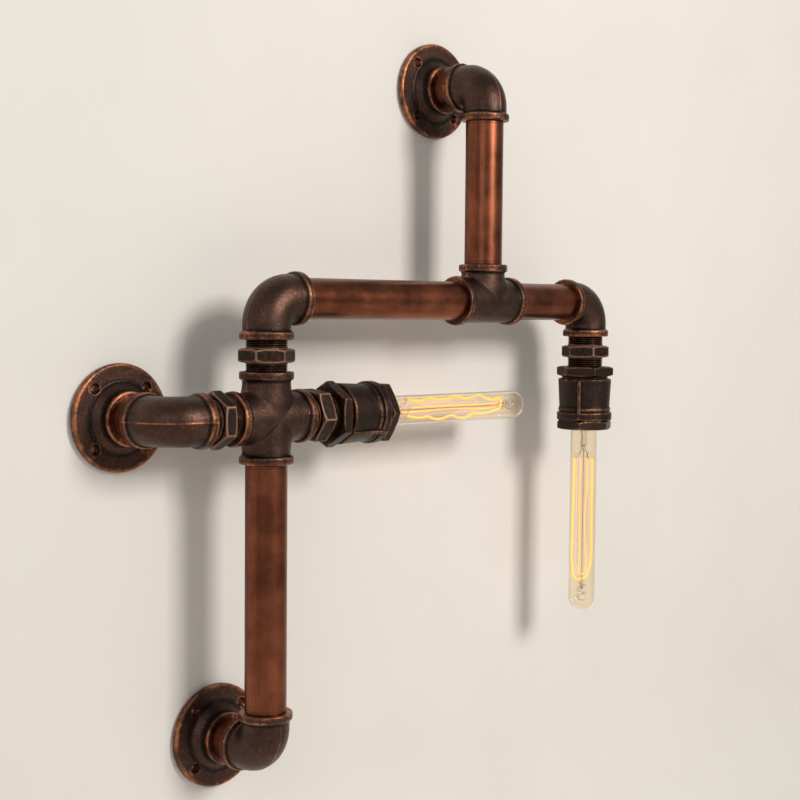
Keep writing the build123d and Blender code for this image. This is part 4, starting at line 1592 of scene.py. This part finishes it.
@dataclass
class FilamentBulb:
    """Tubular filament bulb with two crossed hairpins, along +Z in its cup's frame, in millimetres.

    The outer hairpin lies in a plane that is turned by so many degrees from the cup's front, and the
    filament sits back from its usual place by so much.
    """

    cup: LampCup
    hang: Hang
    plane: float
    back: float
    radius: float = 16.0
    in_view: float = 222.0
    wall: float = 0.8
    neck: float = 12.4
    flare: float = 13.0
    cap_wall: float = 0.3
    eyelet_radius: float = 4.7
    eyelet: float = 1.4
    insulator: float = 4.0
    stem_top: float = 21.0
    press_height: float = 13.0
    press_edge: float = 3.6
    knot_from_tip: float = 28.0
    filament_from: float = 39.0
    filament_to_tip: float = 36.0
    inner_shorter: float = 6.0
    beside_rod: float = 1.6
    outer_wire: float = 2.1
    inner_wire: float = 1.1
    inner_depth: float = 8.0
    lead_aside: float = 4.6
    lead_wire: float = 1.0
    hook_wire: float = 0.6
    curl_wire: float = 0.9
    curl_turns: float = 2.6
    curl_radius: float = 6.2
    curl_length: float = 19.0

    @property
    def tip(self) -> float:
        """Station of the bulb's tip."""
        return self.cup.mouth_at + self.in_view

    @property
    def near(self) -> float:
        """Station of the filament's near end."""
        return self.cup.mouth_at + self.filament_from - self.back

    @property
    def far(self) -> float:
        """Station of the outer hairpin's far end."""
        return self.tip - self.filament_to_tip - self.back

    def hand(self, piece: bpy.types.Object, part: str, finish: str, smooth: float = 40.0) -> None:
        """Puts a piece of the bulb in place and hands it over, by the cup's own method."""
        self.cup.finish(piece, f"bulb_{part}", finish, smooth)

    def spot(self, across: float, depth: float, station: float) -> Vector:
        """Finds a point in the bulb.

        Args:
            across: Distance from the axis in the outer hairpin's plane.
            depth: Distance from the axis square to it.
            station: Height along the axis.

        Returns:
            The point, in millimetres.
        """
        turn = Matrix.Rotation(math.radians(self.plane), 3, "Z")
        return turn @ Vector((across, depth, station))

    def glass(self) -> None:
        """Glass tube with a domed tip, a drawn-in neck and an even wall."""
        low, flare_at = self.cup.cap_end - self.cup.cap_length / 2, self.cup.cap_end
        flare_end, shoulder = flare_at + self.flare, self.tip - self.radius

        def side(inset: float) -> Outline:
            """Draws the outside or the inside of the wall, from the neck to the tip.

            Args:
                inset: Distance inside the glass's outer skin.

            Returns:
                The outline.
            """
            radius, throat = self.radius - inset, self.neck - inset
            out = [(throat, low), (throat, flare_at)]
            for step in range(1, 13):
                share = step / 12
                ease = share * share * (3 - 2 * share)
                out.append((throat + (radius - throat) * ease, flare_at + self.flare * share))
            out += rings(radius, flare_end + 5, shoulder, 12.0)
            for step in range(1, 25):
                angle = math.pi / 2 * step / 24
                out.append((radius * math.cos(angle), shoulder + radius * math.sin(angle)))
            out[-1] = (0.0, shoulder + radius)
            return out

        piece = Bench.turned(f"{self.cup.name}_glass_tube", side(0) + side(self.wall)[::-1])
        self.hand(piece, "glass", "amber_bulb_glass", 60)

    def cap(self) -> None:
        """Screw cap, insulator and eyelet."""
        cup = self.cup
        start = cup.bulb_at + self.eyelet + self.insulator
        radius = cup.cap_radius
        shell = Bench.turned(f"{cup.name}_screw_cap", [
            (radius - self.cap_wall, start), (radius, start),
            *rings(radius, start + 0.5, cup.cap_end - 5, 0.4),
            (radius, cup.cap_end - 4), (radius, cup.cap_end), (self.neck, cup.cap_end),
            (radius - self.cap_wall, cup.cap_end - 1),
        ], 96)
        cut_thread(shell, start + 0.5, cup.cap_end - 5, radius, cup.lamp_pitch, 0.9, True)
        self.hand(shell, "cap", "stamped_brass")
        low = cup.bulb_at + self.eyelet
        glass = Bench.turned(f"{cup.name}_vitrite", rounded([
            (0, low), (self.eyelet_radius, low), (radius - self.cap_wall, low + self.insulator, 1.2),
            (radius - self.cap_wall, low + self.insulator + 1), (0, low + self.insulator + 1),
        ]), 64)
        self.hand(glass, "insulator", "black_vitrite")
        eyelet = Bench.turned(f"{cup.name}_solder_eyelet", rounded([
            (0, cup.bulb_at), (self.eyelet_radius * 0.6, cup.bulb_at, 0.8),
            (self.eyelet_radius, cup.bulb_at + 0.8, 0.5), (self.eyelet_radius, cup.bulb_at + self.eyelet),
            (0, cup.bulb_at + self.eyelet),
        ]), 48)
        self.hand(eyelet, "eyelet", "dull_solder")

    def stem(self) -> None:
        """Glass stem with its flat press."""
        cup = self.cup
        base = cup.cap_end - cup.cap_length / 2
        top = cup.mouth_at + self.stem_top
        press = top - self.press_height
        piece = Bench.turned(f"{cup.name}_glass_stem", rounded([
            (0, base), (self.neck - self.wall, base), (8.5, base + 4, 3), (3.5, base + 14, 6),
            (3.5, press, 3), (5.5, press + 4, 3), (5.5, top, 2.2), (0, top),
        ], steps=6), 64)
        points = Bench.points(piece)
        share = np.clip((points[:, 2] / MM - press + 2) / 5, 0, 1)
        points[:, 0] *= 1 - 0.64 * share
        Bench.move_points(piece, points)
        self.hand(piece, "stem", "clear_stem_glass", 60)

    def filament(self) -> None:
        """Glowing wire in two crossed hairpins, the outer one slacker and brighter."""
        near, far = self.near, self.far
        first, second = self.hang.value
        rows = [*first, *((share, -across) for share, across in reversed(second))]
        outer = Bench.wire("outer_hairpin", [
            self.spot(across, self.beside_rod, near + (far - near) * share) for share, across in rows
        ], self.outer_wire, 4)
        store(outer, "heat", np.full(len(outer.data.vertices), 1.0))
        end, depth = far - self.inner_shorter, self.inner_depth
        inner = Bench.wire("inner_hairpin", [
            self.spot(2.6, depth, near), self.spot(3.2, depth, (near * 3 + end) / 4),
            self.spot(2.8, depth, (near + end) / 2), self.spot(2.6, depth - 1, end - 8),
            self.spot(3, 3, end), self.spot(-2.5, -3, end),
            self.spot(-3.6, 1 - depth, end - 8), self.spot(-1.8, -depth, (near + end) / 2),
            self.spot(-3.4, -depth, (near * 3 + end) / 4), self.spot(-3.2, -depth, near),
        ], self.inner_wire)
        store(inner, "heat", np.full(len(inner.data.vertices), 0.32))
        piece = Bench.merge_loose(f"{self.cup.name}_hairpin_filament", [outer, inner])
        self.hand(piece, "filament", "hot_carbon_filament", 80)

    def support(self) -> None:
        """Centre rod, knot, the hooks that hold the hairpins and the curl that steadies the tip."""
        knot = self.tip - self.knot_from_tip
        start = self.cup.mouth_at + self.stem_top
        end = self.far - self.inner_shorter
        parts = [Bench.turned("rod", rounded([(0, start - 2), (0.6, start - 2), (0.6, knot), (0, knot)]), 24)]
        parts.append(Bench.turned("knot", rounded([
            (0, knot - 3.5), (1.2, knot - 3.5, 1), (2.5, knot - 1, 1.5), (2.5, knot + 1, 1.5),
            (1.2, knot + 3.5, 1), (0, knot + 3.5),
        ]), 32))
        far, near = self.far, self.near
        second_leg = -self.hang.value[1][0][1]
        hooks = [
            [self.spot(0, 0, knot - 3), self.spot(3, 1, far + 3), self.spot(4.5, 1.6, far + 1.4),
             self.spot(3.4, 1.6, far - 1.6)],
            [self.spot(0, 0, knot - 3), self.spot(-1.5, 1, far + 3), self.spot(-2.6, 1.6, far + 1.4),
             self.spot(-1.6, 1.6, far - 1.6)],
            [self.spot(0, 0, end + 4), self.spot(1.4, 2.4, end + 2), self.spot(1.8, 2.2, end - 1.4)],
            [self.spot(second_leg, self.beside_rod, near), self.spot(-3, 4.6, near - 2),
             self.spot(2.6, self.inner_depth, near)],
        ]
        for side, row in zip((1, -1), self.hang.value):
            leg = side * row[0][1]
            hooks.append([
                self.spot(side * 1.2, 0, start - 1), self.spot(side * 4, 0.6, start + 7),
                self.spot(leg * 0.8, 1.6, near - 5), self.spot(leg, 1.6, near - 3),
                self.spot(leg + side * 0.9, 1.6, near - 0.5), self.spot(leg, 2.8, near + 1),
            ])
        steps = round(self.curl_turns * 10)
        curl = [self.spot(0, 0, knot)]
        for step in range(3, steps + 1):
            share = step / steps
            angle = math.tau * self.curl_turns * share
            radius = self.curl_radius * (0.45 + 0.55 * share) * (1 + 0.16 * math.sin(angle * 1.7))
            curl.append(self.spot(radius * math.sin(angle), radius * math.cos(angle),
                                  knot + self.curl_length * (1.3 * share - 0.45)))
        hooks.append(curl)
        for route in hooks:
            parts.append(Bench.wire("hook", route, self.curl_wire if route is curl else self.hook_wire, 2))
        piece = Bench.merge_loose(f"{self.cup.name}_support_wires", parts)
        self.hand(piece, "support", "nickel_wire", 60)

    def lead_ins(self) -> None:
        """Two wires from the edge of the stem press to the ends of the filament."""
        start = self.cup.mouth_at + self.stem_top
        first = self.hang.value[0][0][1]
        ends = (self.spot(first, self.beside_rod, self.near),
                self.spot(-self.lead_aside, -self.inner_depth, self.near))
        foot = Vector((0, math.copysign(self.press_edge, self.spot(1, 0, 0).y), start - 1))
        parts = []
        for side, end in zip((1, -1), ends):
            parts.append(Bench.wire("lead_in", [
                foot, foot + Vector((0, 0, 3)), self.spot(side * 4.4, 0.4, self.near - 6),
                end.lerp(self.spot(side * 4.4, 0.4, self.near - 3), 0.4), end,
            ], self.lead_wire, 3))
        piece = Bench.merge_loose(f"{self.cup.name}_lead_in_wires", parts)
        self.hand(piece, "lead_ins", "nickel_wire", 60)

    def build(self) -> None:
        """Makes the whole bulb."""
        self.glass()
        self.cap()
        self.stem()
        self.filament()
        self.support()
        self.lead_ins()


# ------------------------------------------------------------------ what stays as CAD made it
class Carried:
    """CAD nodes whose shape is right: they only get their finish."""

    finishes: ClassVar[dict[str, str]] = {
        "holder_contact": "stamped_brass",
        "holder_terminals": "plated_screw",
        "terminal_block_screws": "plated_screw",
        "terminal_block": "glazed_porcelain",
        "cable": "rubber_sheath",
    }

    @classmethod
    def dress(cls) -> None:
        """Gives each shown CAD node the finish that its name asks for."""
        for node, piece in NODES.items():
            if piece.hide_render:
                continue
            ending = next((key for key in cls.finishes if node.endswith(key)), None)
            if ending is None:
                log.warning("%s has no finish of its own", node)
                ending = "holder_contact"
            piece.data.materials.clear()
            piece.data.materials.append(Finish.made[cls.finishes[ending]])
            log.info("%s: dressed", node)


# ------------------------------------------------------------------ stage, light and camera
@dataclass(frozen=True)
class Lamp:
    """One soft square lamp: its place and size in metres, its power in watts and its tint."""

    name: str
    place: tuple[float, float, float]
    size: float
    power: float
    tint: str


@dataclass
class Studio:
    """Pale wall and floor, soft light and the camera, in metres, degrees and pixels of the photograph."""

    lamps: ClassVar[tuple[Lamp, ...]] = (
        Lamp("key", (0.35, -2.6, 0.75), 0.8, 54.0, "#FFFBF5"),
        Lamp("fill", (-2.3, -1.5, 0.5), 1.2, 9.0, "#F1F4FF"),
    )
    sky_tint: str = "#F2F0EE"
    sky_strength: float = 0.34
    floor_z: float = -1.02
    wall_gap: float = 0.0015
    cove: float = 0.25
    half_width: float = 3.2
    depth: float = 3.4
    height: float = 2.6
    target: tuple[float, float, float] = (-0.1279, -0.085, -0.3495)
    azimuth: float = -43.7
    elevation: float = 3.43
    roll: float = 0.49
    distance: float = 1.650
    focal_pixels: float = 1532.0
    image_pixels: float = 800.0
    sensor: float = 36.0

    def backdrop(self) -> None:
        """Pale wall that runs into a pale floor in one sweep."""
        back = self.wall_gap
        route = [(-self.depth, self.floor_z)]
        for step in range(17):
            angle = math.pi / 2 * step / 16
            route.append((back - self.cove + self.cove * math.sin(angle),
                          self.floor_z + self.cove - self.cove * math.cos(angle)))
        route.append((back, self.floor_z + self.height))
        Bench.clear()
        bpy.ops.mesh.primitive_plane_add(size=MM)
        sweep = Bench.named("backdrop")
        bpy.ops.object.mode_set(mode="EDIT")
        bpy.ops.mesh.select_all(action="SELECT")
        bpy.ops.mesh.merge(type="CENTER")
        last = (0.0, 0.0)
        for number, point in enumerate(route):
            step = (0.0, point[0] - last[0], point[1] - last[1])
            if number == 0:
                bpy.ops.transform.translate(value=(-self.half_width, step[1], step[2]))
            else:
                bpy.ops.mesh.extrude_vertices_move(TRANSFORM_OT_translate={"value": step})
            last = point
        bpy.ops.mesh.select_all(action="SELECT")
        bpy.ops.mesh.extrude_edges_move(TRANSFORM_OT_translate={"value": (2 * self.half_width, 0, 0)})
        bpy.ops.object.mode_set(mode="OBJECT")
        for face in sweep.data.polygons:
            face.use_smooth = True
        sweep.data.materials.append(self.plaster())

    def plaster(self) -> bpy.types.Material:
        """Builds the plaster.

        Returns:
            A pale matt surface that shows from its front alone.
        """
        shader = Shader("pale_plaster")
        shader.feed("Base Color", shader.mix(shader.noise(180, 3, 0.5), "#E6E2DC", "#DEDAD3"))
        shader.set(Roughness=0.9)
        behind = shader.add("ShaderNodeNewGeometry").outputs["Backfacing"]
        clear = shader.add("ShaderNodeBsdfTransparent")
        both = shader.add("ShaderNodeMixShader", links={0: behind, 1: shader.main.outputs[0],
                                                        2: clear.outputs[0]})
        output = next(n for n in shader.tree.nodes if n.type == "OUTPUT_MATERIAL")
        shader.tree.links.new(both.outputs[0], output.inputs["Surface"])
        return shader.material

    def lights(self) -> None:
        """One key from the front, a weak fill from the left and a plain sky."""
        for lamp in self.lamps:
            light = bpy.data.lights.new(lamp.name, "AREA")
            light.size = lamp.size
            light.energy = lamp.power
            light.color = colour(lamp.tint)[:3]
            holder = bpy.data.objects.new(lamp.name, light)
            bpy.context.scene.collection.objects.link(holder)
            holder.location = lamp.place
            aim = Vector(self.target) - Vector(lamp.place)
            holder.rotation_mode = "QUATERNION"
            holder.rotation_quaternion = aim.to_track_quat("-Z", "Y")
        world = bpy.data.worlds.new("studio")
        bpy.context.scene.world = world
        world.use_nodes = True
        sky = world.node_tree.nodes["Background"]
        sky.inputs["Color"].default_value = colour(self.sky_tint)
        sky.inputs["Strength"].default_value = self.sky_strength

    def camera(self) -> None:
        """Camera at the photograph's angle, distance and framing."""
        turn, rise = math.radians(self.azimuth), math.radians(self.elevation)
        back = Vector((math.sin(turn) * math.cos(rise), -math.cos(turn) * math.cos(rise), math.sin(rise)))
        lens = bpy.data.cameras.new("camera")
        lens.sensor_width = self.sensor
        lens.lens = self.focal_pixels / self.image_pixels * self.sensor
        lens.clip_start = 0.05
        lens.clip_end = 50
        holder = bpy.data.objects.new("camera", lens)
        bpy.context.scene.collection.objects.link(holder)
        holder.location = Vector(self.target) + back * self.distance
        holder.rotation_mode = "QUATERNION"
        straight = (-back).to_track_quat("-Z", "Y")
        tilt = Matrix.Rotation(math.radians(self.roll), 4, "Z").to_quaternion()
        holder.rotation_quaternion = straight @ tilt
        bpy.context.scene.camera = holder

    def build(self) -> None:
        """Sets up the stage, the light and the camera."""
        self.backdrop()
        self.lights()
        self.camera()
        bpy.context.scene.view_settings.view_transform = "Standard"


def main() -> None:
    """Builds the light piece by piece and sets the stage."""
    logging.basicConfig(level=logging.INFO, format="%(message)s")
    Finish.all()
    layout = Layout.read()
    Studio().build()
    Pipework(layout).build()
    Nipples().build()
    WallFlanges(layout).build()
    right_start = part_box("right_cup_bushing")[0].x
    drop_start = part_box("drop_cup_bushing")[1].z
    cups = (
        (LampCup("right", layout.at(right_start, layout.cross_z), Way.RIGHT, 36.0), Hang.WAVY, -90.0, 0.0),
        (LampCup("drop", layout.at(layout.drop_x, drop_start), Way.DOWN, 62.0), Hang.TAUT, 134.0, 3.0),
    )
    for cup, hang, plane, back in cups:
        cup.build()
        FilamentBulb(cup, hang, plane, back).build()
    Carried.dress()


if __name__ == "__main__":
    main()
